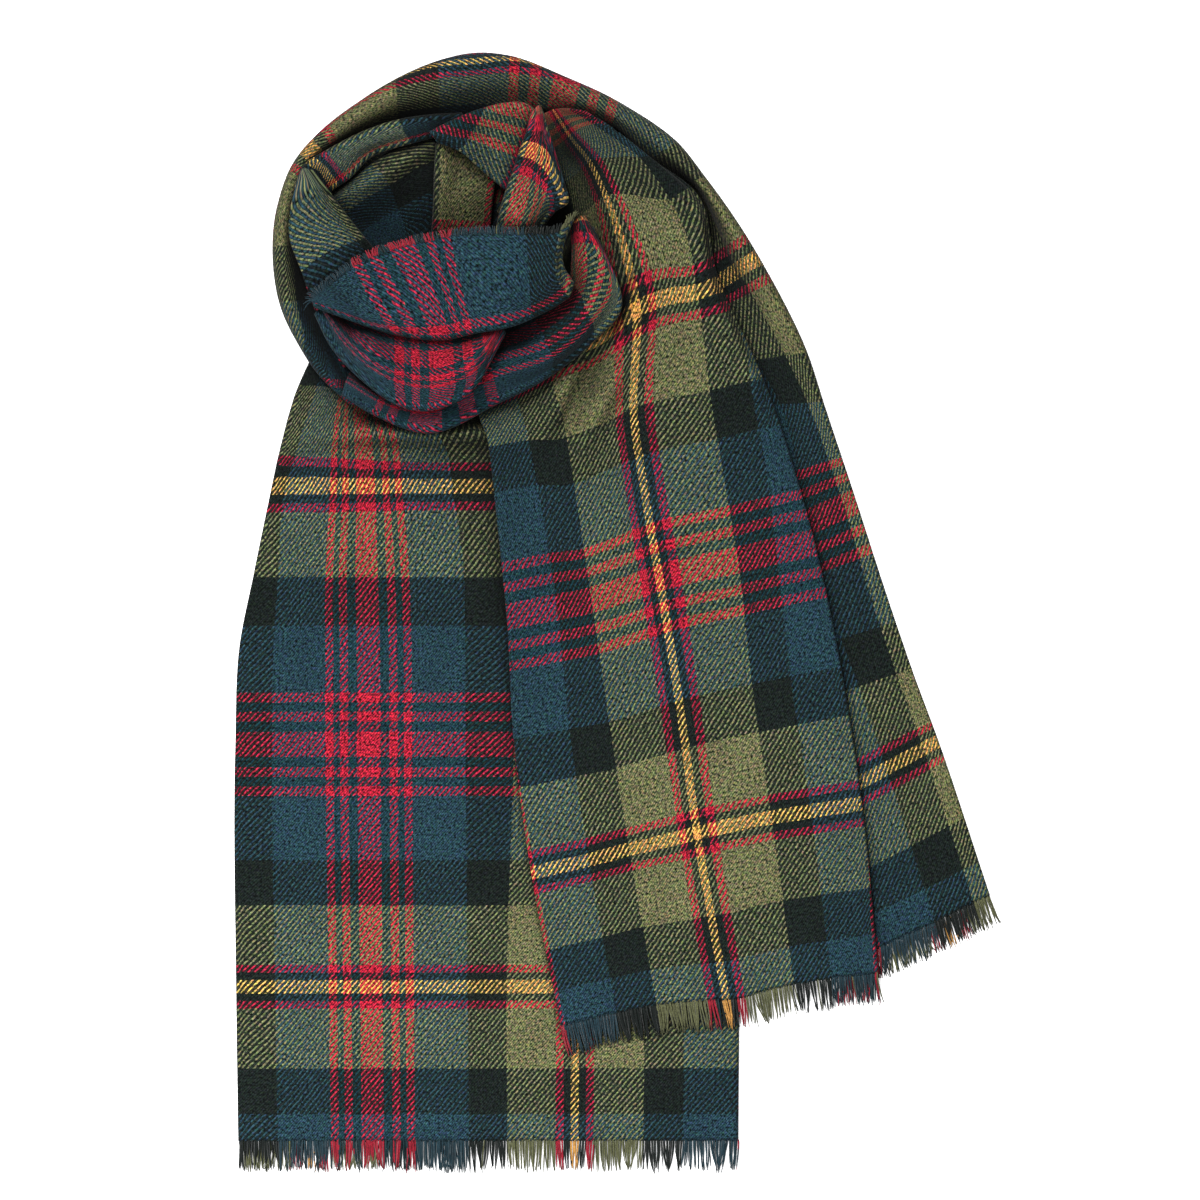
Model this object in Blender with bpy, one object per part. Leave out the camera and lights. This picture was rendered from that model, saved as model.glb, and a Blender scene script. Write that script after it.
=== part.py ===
"""Tartan blanket scarf wound once into a collar, both ends laid down in front.

Every stretch of the winding that shows is one closed wall of cloth. A stretch is a
net of places, a row for each crossing of the cloth and a column for each warp line,
with smooth curves through them. Folded edges are turned under as half ellipses, and
each stretch is laid on the heights of those before it. Millimetres, +Y to the top of
the collar, +Z up from the surface that the scarf lies on.
"""

import bpy
import numpy as np

WALL = 2.0  # cloth and nap
CENTRE = (-3.9, -0.3)  # of the whole outline, where the part's origin is
CELL = 2.0  # height map
MAP_FROM = np.array([-300.0, -420.0])
MAP_CELLS = (300, 420)

# Columns: outer fold, black band, red group start, its end, blue end, black end,
# yellow line, selvedge. Rows from the hem up to the knot.
LEFT_TAIL = (
    (
        (-266.5, -369, 3.6), (-238, -369, 3.6), (-201, -369, 3.6), (-143, -369, 3.6),
        (-105.5, -369, 3.6), (-78.5, -369, 1.2), (-31, -369, 1), (83.5, -369, 1),
    ),
    (
        (-268, -261, 3.6), (-240, -261, 3.6), (-202.5, -261, 3.6), (-144, -261, 3.6),
        (-106.5, -261, 3.6), (-79, -261, 1.2), (-31, -261, 1), (84, -261, 1),
    ),
    (
        (-268.5, -91.5, 3.6), (-242, -91.5, 3.6), (-205, -91.5, 3.6), (-145, -91.5, 3.6),
        (-108, -91.5, 3.6), (-82, -91.5, 1.2), (-35, -91.5, 1), (80, -91.5, 1),
    ),
    (
        (-265.5, -25.5, 3.6), (-241, -25.5, 3.6), (-205, -25.5, 3.6), (-145.5, -25.5, 3.6),
        (-108.5, -25.5, 3.6), (-83.5, -25.5, 1.2), (-39, -25.5, 1), (67, -25.5, 1),
    ),
    (
        (-256, 26, 3.6), (-238, 26, 3.6), (-205, 26, 3.8), (-147, 26, 4),
        (-109, 26, 3.8), (-85.5, 26, 1.6), (-47, 26, 1.2), (42.5, 26, 1),
    ),
    (
        (-243, 89, 4), (-232.5, 89, 4.5), (-201.5, 89, 6), (-152, 89, 6.5),
        (-117, 89, 6), (-96, 89, 4), (-62.5, 89, 2), (14.5, 89, 1.2),
    ),
    (
        (-238.5, 110, 5), (-226, 110, 6), (-201, 110, 8), (-154, 110, 7),
        (-121, 110, 6), (-100, 110, 6), (-69.5, 110, 3), (0.5, 110, 1.5),
    ),
    (
        (-235, 124, 6), (-222, 124, 8), (-199.5, 124, 10), (-156, 124, 13),
        (-125.5, 124, 14), (-104.5, 124, 12), (-75, 124, 6), (-10, 124, 2),
    ),
    (
        (-230.5, 141, 7), (-216.5, 141, 9), (-197.5, 141, 11), (-163, 141, 11),
        (-132.5, 141, 11), (-111.5, 141, 10), (-83.5, 141, 6), (-24, 141, 2),
    ),
    (
        (-222.5, 163.5, 7), (-209.5, 163.5, 8), (-194.5, 163.5, 9), (-170, 163.5, 9),
        (-145, 163.5, 9), (-125.5, 163.5, 8), (-97.5, 163.5, 6), (-41.5, 163.5, 2),
    ),
)
LEFT_TAIL_RUN = (155, 155, 154, 150, 140, 118, 100, 84, 66, 42)  # turned under, mm

# Columns: selvedge, blue end, black end, valley, yellow line, black, blue, front fold.
RIGHT_TAIL = (
    (
        (-40.5, -289, 3.6), (-2, -279.5, 3.6), (26, -274, 3.6), (56.5, -271, 3.6),
        (75, -270.5, 3.6), (123, -259.5, 4.5), (149, -255, 8.6), (181.5, -251, 8.9),
    ),
    (
        (-61.5, -181.5, 3.6), (-21.5, -172.5, 3.6), (7, -165, 3.6), (37, -158, 3.6),
        (54.5, -153.5, 3.6), (107, -142.5, 4.5), (134.5, -138, 8.6), (170, -132.5, 8.9),
    ),
    (
        (-73.5, -92, 3.6), (-34.5, -85, 3.6), (-6.5, -80, 3.6), (24, -70.5, 3.6),
        (42.5, -65, 3.6), (94, -53.5, 4.5), (121, -48, 8.6), (156, -41, 8.9),
    ),
    (
        (-78.5, -2.5, 3.6), (-44, 4.5, 3.6), (-19.5, 9.5, 3.6), (10, 18.5, 3.6),
        (28, 25, 3.6), (83.5, 37.5, 5), (110.5, 44, 8.6), (137, 49.5, 8.9),
    ),
    (
        (-84.5, 57.5, 4.5), (-53, 63.5, 4.5), (-28, 66, 4.5), (0.5, 77.5, 4.5),
        (18, 84.5, 4.5), (73.5, 97, 6.5), (103, 104, 8.8), (120.5, 108, 9.2),
    ),
    (
        (-91, 117, 9), (-63.5, 121.5, 10), (-37, 123.5, 10), (-7.5, 135.5, 7),
        (10, 144, 8), (63.5, 156.5, 8), (94.5, 165, 9.8), (104.5, 166, 10.5),
    ),
    (
        (-101.5, 137, 14), (-75, 148, 14), (-51, 165, 14), (-10.5, 193, 9),
        (9, 215, 12), (58, 230, 12), (73.5, 236, 12), (82.5, 239, 12.5),
    ),
    (
        (-55.5, 219.5, 16), (-44, 239, 22), (-31, 272, 28), (-19, 284, 14),
        (-9, 291, 20), (33.5, 288, 17), (45, 295, 15), (53, 300.5, 15),
    ),
    (
        (-62.5, 254.5, 20), (-52, 275.5, 24), (-37, 300, 30), (-27.5, 309, 20),
        (-20.5, 315.5, 24), (9, 320, 20), (16, 319, 18), (21, 315.5, 17),
    ),
    (
        (-69.5, 286, 22), (-59, 307, 24), (-47, 323, 28), (-40, 328.5, 24),
        (-34.5, 333.5, 26), (-17.5, 341, 22), (-11, 341, 19), (-7.5, 338.5, 17),
    ),
    (
        (-75, 310.5, 22), (-66, 328, 22), (-55.5, 340, 22), (-50.5, 344, 22),
        (-46, 347.5, 22), (-34.5, 349.5, 18), (-28, 349.5, 17), (-23, 349, 16),
    ),
)
RIGHT_TAIL_RUN = (27, 28, 28, 21, 14, 8, 6, 5, 4, 3, 3)

# Columns: inner edge x, y, z; outer fold x, y; height of its top; width of its turn;
# height of the cloth turned under; inner edge's run beneath the front layer; length
# turned under; how far the inner edge is rolled, 0 to 1. From the back of the right
# tail's hem, up round the collar and down to the left of the knot.
OUTER_LOOP = (
    (182.5, -234, 3.5, 259.5, -197, 3.5, 1.3, 1, 27, 126, 0),
    (168, -118.5, 3.5, 223.5, -89, 3.5, 1.3, 1, 27, 126, 0),
    (161.5, -53.5, 3.5, 205, -39, 3.5, 1.3, 1, 27, 122, 0),
    (143.5, 6, 3.5, 185, 20, 3.5, 1.3, 1, 25, 115, 0),
    (131, 63.5, 3.5, 166, 79, 3.5, 1.3, 1, 21, 98, 0),
    (115, 146.5, 4, 143, 148, 4.5, 2.1, 1, 15, 74, 0),
    (101.5, 179, 4.5, 131.5, 183, 6, 2.8, 1, 13, 56, 0),
    (82, 239, 6, 98, 249, 10, 4.2, 1, 11, 36, 0),
    (54.5, 303, 10, 61, 304, 15, 4.9, 1, 8, 24, 0.2),
    (24, 317, 17, 40.5, 329.5, 21, 7, 1, 6, 18, 0.8),
    (-5, 341, 19, -0.5, 357.5, 25, 7, 1, 4, 12, 1),
    (-41.5, 349.5, 21, -35.5, 374, 28, 9, 1, 4, 9, 1),
    (-77.5, 351, 21, -76.5, 389.5, 30, 11, 1, 6, 12, 1),
    (-98.5, 346, 17, -98.5, 391.5, 31, 12, 1, 6, 18, 1),
    (-125.5, 342.5, 16, -126, 386, 31, 12, 1, 6, 18, 1),
    (-154.5, 341, 17, -156, 373, 31, 11, 1, 6, 18, 1),
    (-178, 333.5, 19, -180.5, 358, 31, 10, 1, 6, 18, 1),
    (-196.5, 323, 20, -206, 339, 31, 8, 1, 6, 15, 1),
    (-215.5, 305, 20, -229, 312, 31, 7, 1, 6, 15, 1),
    (-220.5, 285, 19, -238.5, 285, 31, 8, 1, 6, 15, 1),
    (-224, 256, 18, -242, 256, 30, 8, 1, 6, 15, 1),
    (-217, 219.5, 18, -237.5, 217.5, 27, 8, 1, 6, 14, 1),
    (-204.5, 188, 17, -224, 188, 24, 7, 5, 12, 10, 0),
    (-189, 161.5, 17, -208, 165, 22, 6, 12.5, 18, 6, 0),
    (-173, 144, 17, -188.5, 146.5, 19, 4, 14, 18, 4, 0),
)

# Columns: under the wrap, crest, wall, foot, floor of the neck opening, under the knot.
NECK_SLOPE = (
    (
        (-213, 274, 22), (-206, 274, 24), (-196.5, 265, 16), (-188.5, 257, 10),
        (-178, 250, 6), (-171, 240, 5.5),
    ),
    (
        (-206, 286, 24), (-196.5, 288, 27), (-187, 278, 18), (-180, 268.5, 10),
        (-171, 258, 6), (-164, 243, 5),
    ),
    (
        (-188.5, 300, 25), (-180, 298, 29), (-173, 289.5, 18), (-166, 279, 9),
        (-159, 267, 6), (-154, 248, 5),
    ),
    (
        (-168.5, 315.5, 27), (-161.5, 309, 31), (-156, 299, 19), (-152, 286.5, 9),
        (-147.5, 272, 6), (-146, 250, 5),
    ),
    (
        (-146.5, 326, 28), (-142, 320, 33), (-139.5, 309, 20), (-136.5, 295, 9),
        (-135, 279, 6), (-136, 252, 5),
    ),
    (
        (-129.5, 331.5, 28), (-127.5, 325, 31), (-125.5, 314, 20), (-124, 298, 9),
        (-122.5, 282.5, 6), (-126, 254, 5),
    ),
)

# Columns: ridge, middle, lower fold. From the left flap up to the spur.
SECOND_WRAP = (
    ((-226, 296.5, 30), (-221, 289.5, 28), (-210.5, 279, 22)),
    ((-219, 312, 34), (-210.5, 307, 33), (-200, 293.5, 25)),
    ((-202.5, 323, 36), (-196.5, 315.5, 35), (-187, 303, 26)),
    ((-182.5, 333.5, 38), (-180, 324.5, 36), (-173, 317, 28)),
    ((-153.5, 343.5, 38), (-150, 335.5, 36), (-145, 326.5, 30)),
    ((-132.5, 347, 34), (-129.5, 340, 32), (-125.5, 331.5, 28)),
    ((-110, 349, 28), (-107, 343.5, 26), (-104.5, 335.5, 24)),
)

# Columns: left fold, middle, right end. From the top down into the neck opening.
OLIVE_PANEL = (
    ((-127.5, 327, 33), (-108, 328, 30), (-83.5, 319, 28)),
    ((-129, 303.5, 28), (-109, 302, 26), (-87, 296.5, 22)),
    ((-130, 281, 22), (-111.5, 281, 19), (-89, 279.5, 15)),
    ((-131.5, 261.5, 14), (-112.5, 260, 12), (-90.5, 259.5, 10)),
    ((-132.5, 247.5, 9), (-114, 246, 8), (-91.5, 246, 8)),
)

# Columns: selvedge, middle, fold over the neck opening. From its tip down.
LEFT_FLAP = (
    ((-221, 306, 38), (-217, 308.5, 39), (-212, 307, 38)),
    ((-228, 282.5, 37), (-213.5, 291, 41), (-199.5, 291, 36)),
    ((-229, 261.5, 36), (-210.5, 270, 41), (-189, 277, 33)),
    ((-221, 238.5, 34), (-203.5, 251, 39), (-177, 262, 31)),
    ((-213.5, 216, 30), (-195.5, 230, 34), (-164.5, 246, 28)),
    ((-203.5, 193, 24), (-185, 209, 27), (-159, 225, 25)),
    ((-192, 170.5, 17), (-177, 186, 19), (-154.5, 204, 18)),
)

# Columns: crest, slope, lower fold. From left to right over the top of the collar.
RIDGE_WRAP = (
    ((-131.5, 334, 38), (-129, 331, 37), (-126, 327, 35)),
    ((-122.5, 339, 42), (-117, 330, 40), (-110.5, 321, 34)),
    ((-110, 345, 46), (-101.5, 329.5, 42), (-94.5, 307.5, 32)),
    ((-96, 350.5, 49), (-85.5, 330, 43), (-79, 295, 31)),
    ((-80, 354.5, 50), (-73, 333, 43), (-71.5, 291, 30)),
    ((-66, 354.5, 49), (-62.5, 331.5, 42), (-64.5, 287.5, 29)),
    ((-55.5, 347.5, 46), (-54, 327, 40), (-58, 286, 28)),
)

# Columns: left fold, middle, inner fold, right fold. From the tip down to the knot.
SPUR_FOLD = (
    ((-61.5, 345.5, 51), (-58, 348, 52), (-55.5, 347.5, 52), (-52.5, 344, 51)),
    ((-64.5, 334, 51), (-57.5, 334, 53), (-52, 332, 53), (-46, 324.5, 49)),
    ((-69.5, 321.5, 49), (-59, 319.5, 52), (-48.5, 312, 50), (-38, 298, 44)),
    ((-74, 307.5, 45), (-62.5, 304, 49), (-50.5, 296.5, 46), (-35, 286, 40)),
    ((-80, 291, 41), (-65, 287.5, 45), (-52.5, 284, 42), (-44, 279.5, 36)),
    ((-84.5, 274, 37), (-70, 272, 41), (-56.5, 270.5, 38), (-52, 268, 34)),
    ((-87.5, 260, 33), (-72, 258, 36), (-59.5, 256.5, 34), (-54.5, 255, 31)),
)

# Columns: left end, red group, centre, its end, blue end, black end, olive end, tip.
# Rows from the hidden top down to the lower fold.
KNOT_LIP = (
    (
        (-187, 169, 15), (-162.5, 158, 22), (-133.5, 156.5, 25), (-98.5, 193, 30),
        (-63.5, 207, 30), (-36.5, 225, 28), (-25, 246, 33), (-31.5, 271, 38),
    ),
    (
        (-188.5, 165.5, 17), (-164.5, 154.5, 25), (-133.5, 151, 27), (-94.5, 183, 34),
        (-56.5, 200, 33), (-28.5, 225, 33), (-21.5, 246, 38), (-28.5, 275, 40),
    ),
    (
        (-189.5, 162, 18), (-167.5, 149.5, 27), (-134.5, 145, 29), (-91, 175.5, 37),
        (-51, 188, 38), (-23, 211, 39), (-12.5, 240.5, 41), (-26, 275, 40),
    ),
    (
        (-191, 158, 17), (-169.5, 145, 25), (-135, 138, 27), (-88, 165, 36),
        (-47.5, 177.5, 36), (-19, 201, 36), (-5.5, 228, 37), (-22.5, 274, 38),
    ),
    (
        (-193, 151.5, 13), (-173, 139, 19), (-136.5, 125.5, 21), (-83.5, 146.5, 27),
        (-48.5, 165, 27), (-17.5, 190, 26), (1.5, 212.5, 27), (-17, 267, 33),
    ),
)

# Columns: left corner, upper left, red group, centre, second red, red group end.
KNOT_ROLL = (
    (
        (-208, 216, 26), (-187, 207, 31), (-156, 198.5, 35), (-125.5, 196.5, 38),
        (-109, 197, 38), (-100, 195.5, 36),
    ),
    (
        (-209.5, 213, 29), (-187.5, 194, 38), (-155.5, 177, 44), (-123, 174.5, 45),
        (-106.5, 179, 43), (-96, 183, 39),
    ),
    (
        (-210, 211, 30), (-192, 188, 38), (-155.5, 167.5, 44), (-123, 164, 45),
        (-104.5, 170.5, 43), (-93, 179, 38),
    ),
    (
        (-210.5, 209.5, 29), (-194.5, 185, 35), (-155.5, 160, 41), (-123, 156, 42),
        (-103.5, 163.5, 39), (-91.5, 175.5, 36),
    ),
    (
        (-212, 208, 26), (-198, 181.5, 29), (-154, 144.5, 33), (-125.5, 142, 33),
        (-108.5, 149.5, 32), (-91, 170, 33),
    ),
)

# Columns: left corner, red group, centre, its end, blue end, black end, right fold.
KNOT_FLAP = (
    (
        (-213.5, 216.5, 33), (-184, 241, 42), (-150, 254.5, 47), (-117, 261.5, 48),
        (-66, 263.5, 46), (-41.5, 265.5, 43), (-31, 275.5, 40),
    ),
    (
        (-212, 215, 34), (-175.5, 224.5, 47), (-139.5, 233.5, 52), (-113.5, 240.5, 53),
        (-63.5, 243, 50), (-42.5, 246, 46), (-37, 256.5, 40),
    ),
    (
        (-211.5, 214, 34), (-164.5, 205.5, 48), (-129.5, 211, 53), (-107, 216, 53),
        (-62.5, 221.5, 49), (-38, 231.5, 45), (-31.5, 240.5, 40),
    ),
    (
        (-210.5, 212, 32), (-155.5, 193.5, 43), (-122, 189.5, 45), (-101, 193.5, 45),
        (-61.5, 204, 43), (-30, 221, 40), (-24.5, 230.5, 37),
    ),
)

# The padding that the hidden turns of cloth make, round the neck opening. Columns:
# direction in degrees, radius of the floor, radius where it is full, outer radius,
# height, radius of the low layer beneath it.
CORE_AT = (-146.0, 262.0)
CORE = (
    (0, 30, 74, 84, 12, 95), (30, 24, 66, 92, 18, 112), (45, 20, 60, 88, 20, 129),
    (60, 18, 56, 84, 20, 106), (90, 18, 52, 68, 20, 77), (120, 20, 50, 57, 17, 65),
    (150, 24, 50, 56, 15, 65), (180, 26, 48, 55, 15, 64), (210, 24, 42, 56, 17, 69),
    (240, 22, 38, 62, 20, 78), (270, 24, 38, 76, 22, 86), (300, 28, 46, 78, 22, 90),
    (330, 32, 66, 80, 16, 93),
)
LOW_LAYER = 8.0


def curve(knots, places, at):
    """Cubic curves through the places, whose slope at each is that of the parabola
    through it and its neighbours."""
    gap = np.diff(knots)[:, None]
    chord = np.diff(places, axis=0) / gap
    slope = np.vstack([chord[:1], chord[-1:] if len(chord) == 1 else chord])
    if len(chord) > 1:
        slope[1:-1] = (gap[1:] * chord[:-1] + gap[:-1] * chord[1:]) / (gap[1:] + gap[:-1])
        slope[-1] = chord[-1]
    i = np.clip(np.searchsorted(knots, at, side="right") - 1, 0, len(knots) - 2)
    h = gap[i]
    s = (at - knots[i])[:, None] / h
    return (
        (1 + 2 * s) * (1 - s) ** 2 * places[i]
        + s * (1 - s) ** 2 * h * slope[i]
        + s**2 * (3 - 2 * s) * places[i + 1]
        + s**2 * (s - 1) * h * slope[i + 1]
    )


def surface(net, spacing_along, spacing_across):
    """The net's surface: rows first, then columns, each interval in equal parts."""
    grid = np.array(net, float)
    for spacing in (spacing_along, spacing_across):
        step = np.linalg.norm(np.diff(grid[..., :3], axis=0), axis=-1).mean(axis=1)
        knots = np.concatenate([[0], np.cumsum(step)])
        parts = np.maximum(1, np.rint(step / spacing).astype(int))
        at = np.concatenate(
            [np.arange(n) / n * s + k for n, s, k in zip(parts, step, knots)] + [knots[-1:]]
        )
        flat = curve(knots, grid.reshape(len(grid), -1), at)
        grid = flat.reshape(len(at), *grid.shape[1:]).swapaxes(0, 1)
    return grid


def turned(grid, drop, run, reach=None, spacing=10.0, points=4):
    """The grid with its first column turned under: half an ellipse, reach wide and
    drop high, then a run back beneath. The measured column is the fold's outside."""
    drop = np.broadcast_to(np.asarray(drop, float), len(grid))
    run = np.broadcast_to(np.asarray(run, float), len(grid))
    reach = drop / 2 if reach is None else np.broadcast_to(np.asarray(reach, float), len(grid))
    inward = grid[:, 1, :2] - grid[:, 0, :2]
    inward /= np.linalg.norm(inward, axis=1)[:, None]
    step = np.linalg.norm(np.diff(grid[..., :2], axis=1), axis=-1)
    away = np.concatenate([np.zeros((len(grid), 1)), np.cumsum(step, axis=1)], axis=1)
    shift = (reach + WALL / 2)[:, None]
    fade = np.clip(1 - away / np.minimum(3 * shift, away[:, -1:]), 0, 1)
    grid = grid.copy()
    grid[..., :2] += inward[:, None] * (shift * fade)[..., None]
    parts = max(1, int(np.rint(run.max() / spacing)))
    extra = []
    for part in np.arange(parts, 0, -1) / parts:
        extra.append((run * part, -drop))
    for angle in np.radians(np.linspace(-90, 90, points, endpoint=False)):
        extra.append((-reach * np.cos(angle), drop / 2 * (np.sin(angle) - 1)))
    columns = []
    for ahead, up in extra:
        column = grid[:, 0].copy()
        column[:, :2] += inward * ahead[:, None]
        column[:, 2] += up
        columns.append(column)
    return np.concatenate([np.stack(columns, axis=1), grid], axis=1)


def flipped(grid):
    return grid[:, ::-1]


def crosswise(grid):
    return grid.swapaxes(0, 1)


def parted(grid, count):
    """Straight parts between the rows, count to each interval."""
    at = np.arange((len(grid) - 1) * count + 1) / count
    low = np.minimum(at.astype(int), len(grid) - 2)
    share = (at - low).reshape(-1, *([1] * (grid.ndim - 1)))
    return grid[low] * (1 - share) + grid[low + 1] * share


def normals(grid):
    n = np.cross(np.gradient(grid[..., :3], axis=0), np.gradient(grid[..., :3], axis=1))
    return n / np.maximum(np.linalg.norm(n, axis=-1, keepdims=True), 1e-9)


def cells(points):
    at = np.floor((points[..., :2] - MAP_FROM) / CELL).astype(int)
    return np.clip(at[..., 0], 1, MAP_CELLS[0] - 2), np.clip(at[..., 1], 1, MAP_CELLS[1] - 2)


def densely(grid):
    """Many points of the surface, the parts used, and half its thickness upright."""
    ahead = np.linalg.norm(np.diff(grid[..., :2], axis=0), axis=-1).max()
    over = np.linalg.norm(np.diff(grid[..., :2], axis=1), axis=-1).max()
    n, m = max(1, int(np.ceil(ahead / 1.5))), max(1, int(np.ceil(over / 1.5)))
    dense = crosswise(parted(crosswise(parted(grid, n)), m))
    lean = np.abs(normals(dense)[..., 2])
    return dense, n, m, WALL / 2 * np.minimum(1 / np.maximum(lean, 1e-3), 2.2)


def remembered(tops, grid):
    dense, _, _, half = densely(grid)
    np.maximum.at(tops, cells(dense), dense[..., 2] + half)


def laid(tops, grid, apart, firm_first=0, firm_last=0):
    """The grid raised where it would meet what is already laid. Turned columns rise
    together, and the rise falls off gently across the cloth. The heights beneath are
    taken a cell wide, which already parts the two on a slope, so apart may be negative."""
    wide = tops.copy()
    for x in (-1, 0, 1):
        for y in (-1, 0, 1):
            wide = np.maximum(wide, np.roll(tops, (x, y), (0, 1)))
    dense, n, m, half = densely(grid)
    need = wide[cells(dense)] + apart + half - dense[..., 2]
    rows, columns = grid.shape[:2]
    at_row, at_column = np.arange(rows) * n, np.arange(columns) * m
    lift = np.zeros((rows, columns))
    for r in range(-n, n + 1):
        for c in range(-m, m + 1):
            i = np.clip(at_row + r, 0, len(need) - 1)
            j = np.clip(at_column + c, 0, need.shape[1] - 1)
            lift = np.maximum(lift, need[np.ix_(i, j)])
    lift[lift < 0.15] = 0
    step = np.linalg.norm(np.diff(grid[..., :2], axis=1), axis=-1)
    if firm_first:
        lift[:, : firm_first + 1] = lift[:, : firm_first + 1].max(axis=1, keepdims=True)
    if firm_last:
        lift[:, -firm_last - 1 :] = lift[:, -firm_last - 1 :].max(axis=1, keepdims=True)
    first, last = firm_first, columns - 1 - firm_last
    for c in range(first + 1, last + 1):
        lift[:, c] = np.maximum(lift[:, c], lift[:, c - 1] - 0.5 * step[:, c - 1])
    for c in range(last - 1, first - 1, -1):
        lift[:, c] = np.maximum(lift[:, c], lift[:, c + 1] - 0.5 * step[:, c])
    if firm_first:
        lift[:, :firm_first] = lift[:, firm_first : firm_first + 1]
    if firm_last:
        lift[:, -firm_last:] = lift[:, -firm_last - 1 : -firm_last]
    stride = np.linalg.norm(np.diff(grid[..., :2], axis=0), axis=-1)
    for r in range(1, rows):
        lift[r] = np.maximum(lift[r], lift[r - 1] - 0.5 * stride[r - 1])
    for r in range(rows - 2, -1, -1):
        lift[r] = np.maximum(lift[r], lift[r + 1] - 0.5 * stride[r])
    grid = grid.copy()
    grid[..., 2] += lift
    return grid


def node(name, points, faces):
    mesh = bpy.data.meshes.new(name)
    places = (np.asarray(points) - (*CENTRE, 0)) / 1000
    mesh.from_pydata(places.tolist(), [], [tuple(f) for f in faces])
    mesh.materials.append(CLOTH)
    bpy.context.scene.collection.objects.link(bpy.data.objects.new(name, mesh))


def wall(name, grid):
    """The cloth: the grid's surface with half the wall on each side of it."""
    rows, columns = grid.shape[:2]
    out = normals(grid) * WALL / 2
    if out[..., 2].sum() < 0:
        out = -out
    top = (grid[..., :3] + out).reshape(-1, 3)
    under = (grid[..., :3] - out).reshape(-1, 3)
    count = rows * columns
    i = np.arange(count).reshape(rows, columns)
    a, b, c, d = i[:-1, :-1], i[1:, :-1], i[1:, 1:], i[:-1, 1:]
    faces = np.stack([a, b, c, d], axis=-1).reshape(-1, 4)
    rim = np.concatenate([i[0, :-1], i[:-1, -1], i[-1, :0:-1], i[:0:-1, 0]])
    onward = np.roll(rim, -1)
    side = np.stack([rim, onward, onward + count, rim + count], axis=-1)
    every = np.concatenate([faces, faces[:, ::-1] + count, side])
    points = np.concatenate([top, under])
    points[:, 2] = np.maximum(points[:, 2], 0)
    p = points[every]
    signed = np.einsum(
        "ij,ij->i", p[:, 0], np.cross(p[:, 1], p[:, 2]) + np.cross(p[:, 2], p[:, 3])
    ).sum()
    node(name, points, (every if signed > 0 else every[:, ::-1]).tolist())


def core(tops):
    """Padding with a flat underside and a stepped rim, low in the neck opening."""
    table = np.array(CORE, float)
    turn = np.radians(np.arange(0, 360, 15.0))
    every = np.radians(np.append(table[:, 0], 360))
    floor, full, outer, high, brim = (
        np.interp(turn, every, np.append(table[:, k], table[0, k])) for k in (1, 2, 3, 4, 5)
    )
    middle = (floor + full) / 2
    rings = (
        (floor, 3 + 0 * high), (middle, 3 + (high - 3) * 0.42), (full, high),
        (outer - 5, high), (outer - 4.5, (high + LOW_LAYER) / 2),
        (outer, (high + LOW_LAYER) / 2), (outer + 0.5, LOW_LAYER + 0 * high),
        (brim, LOW_LAYER + 0 * high), (brim, 0 * high),
    )
    around = np.stack([np.cos(turn), np.sin(turn)], axis=-1)
    points = [(*CORE_AT, 3.0)]
    for radius, z in rings:
        xy = np.array(CORE_AT) + around * radius[:, None]
        points += np.column_stack([xy, z]).tolist()
    points.append((*CORE_AT, 0.0))
    n, last = len(turn), len(points) - 1
    faces = []
    for k in range(n):
        j = (k + 1) % n
        faces.append((0, 1 + k, 1 + j))
        for r in range(len(rings) - 1):
            a, b = 1 + r * n, 1 + (r + 1) * n
            faces.append((a + k, b + k, b + j, a + j))
        a = 1 + (len(rings) - 1) * n
        faces.append((a + k, last, a + j))
    node("core", points, faces)
    x, y = np.meshgrid(np.arange(MAP_CELLS[0]), np.arange(MAP_CELLS[1]), indexing="ij")
    px = MAP_FROM[0] + (x + 0.5) * CELL - CORE_AT[0]
    py = MAP_FROM[1] + (y + 0.5) * CELL - CORE_AT[1]
    way, far = np.arctan2(py, px) % (2 * np.pi), np.hypot(px, py)
    here = [
        np.interp(way, every, np.append(table[:, k], table[0, k])) for k in (1, 2, 3, 4, 5)
    ]
    rise = np.clip((far - here[0]) / (here[1] - here[0]), 0, 1)
    height = np.where(far < here[2] + 1, 3 + (here[3] - 3) * rise, LOW_LAYER)
    height = np.where(far < here[4] + 1, height, 0)
    np.maximum(tops, height, out=tops)


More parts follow.
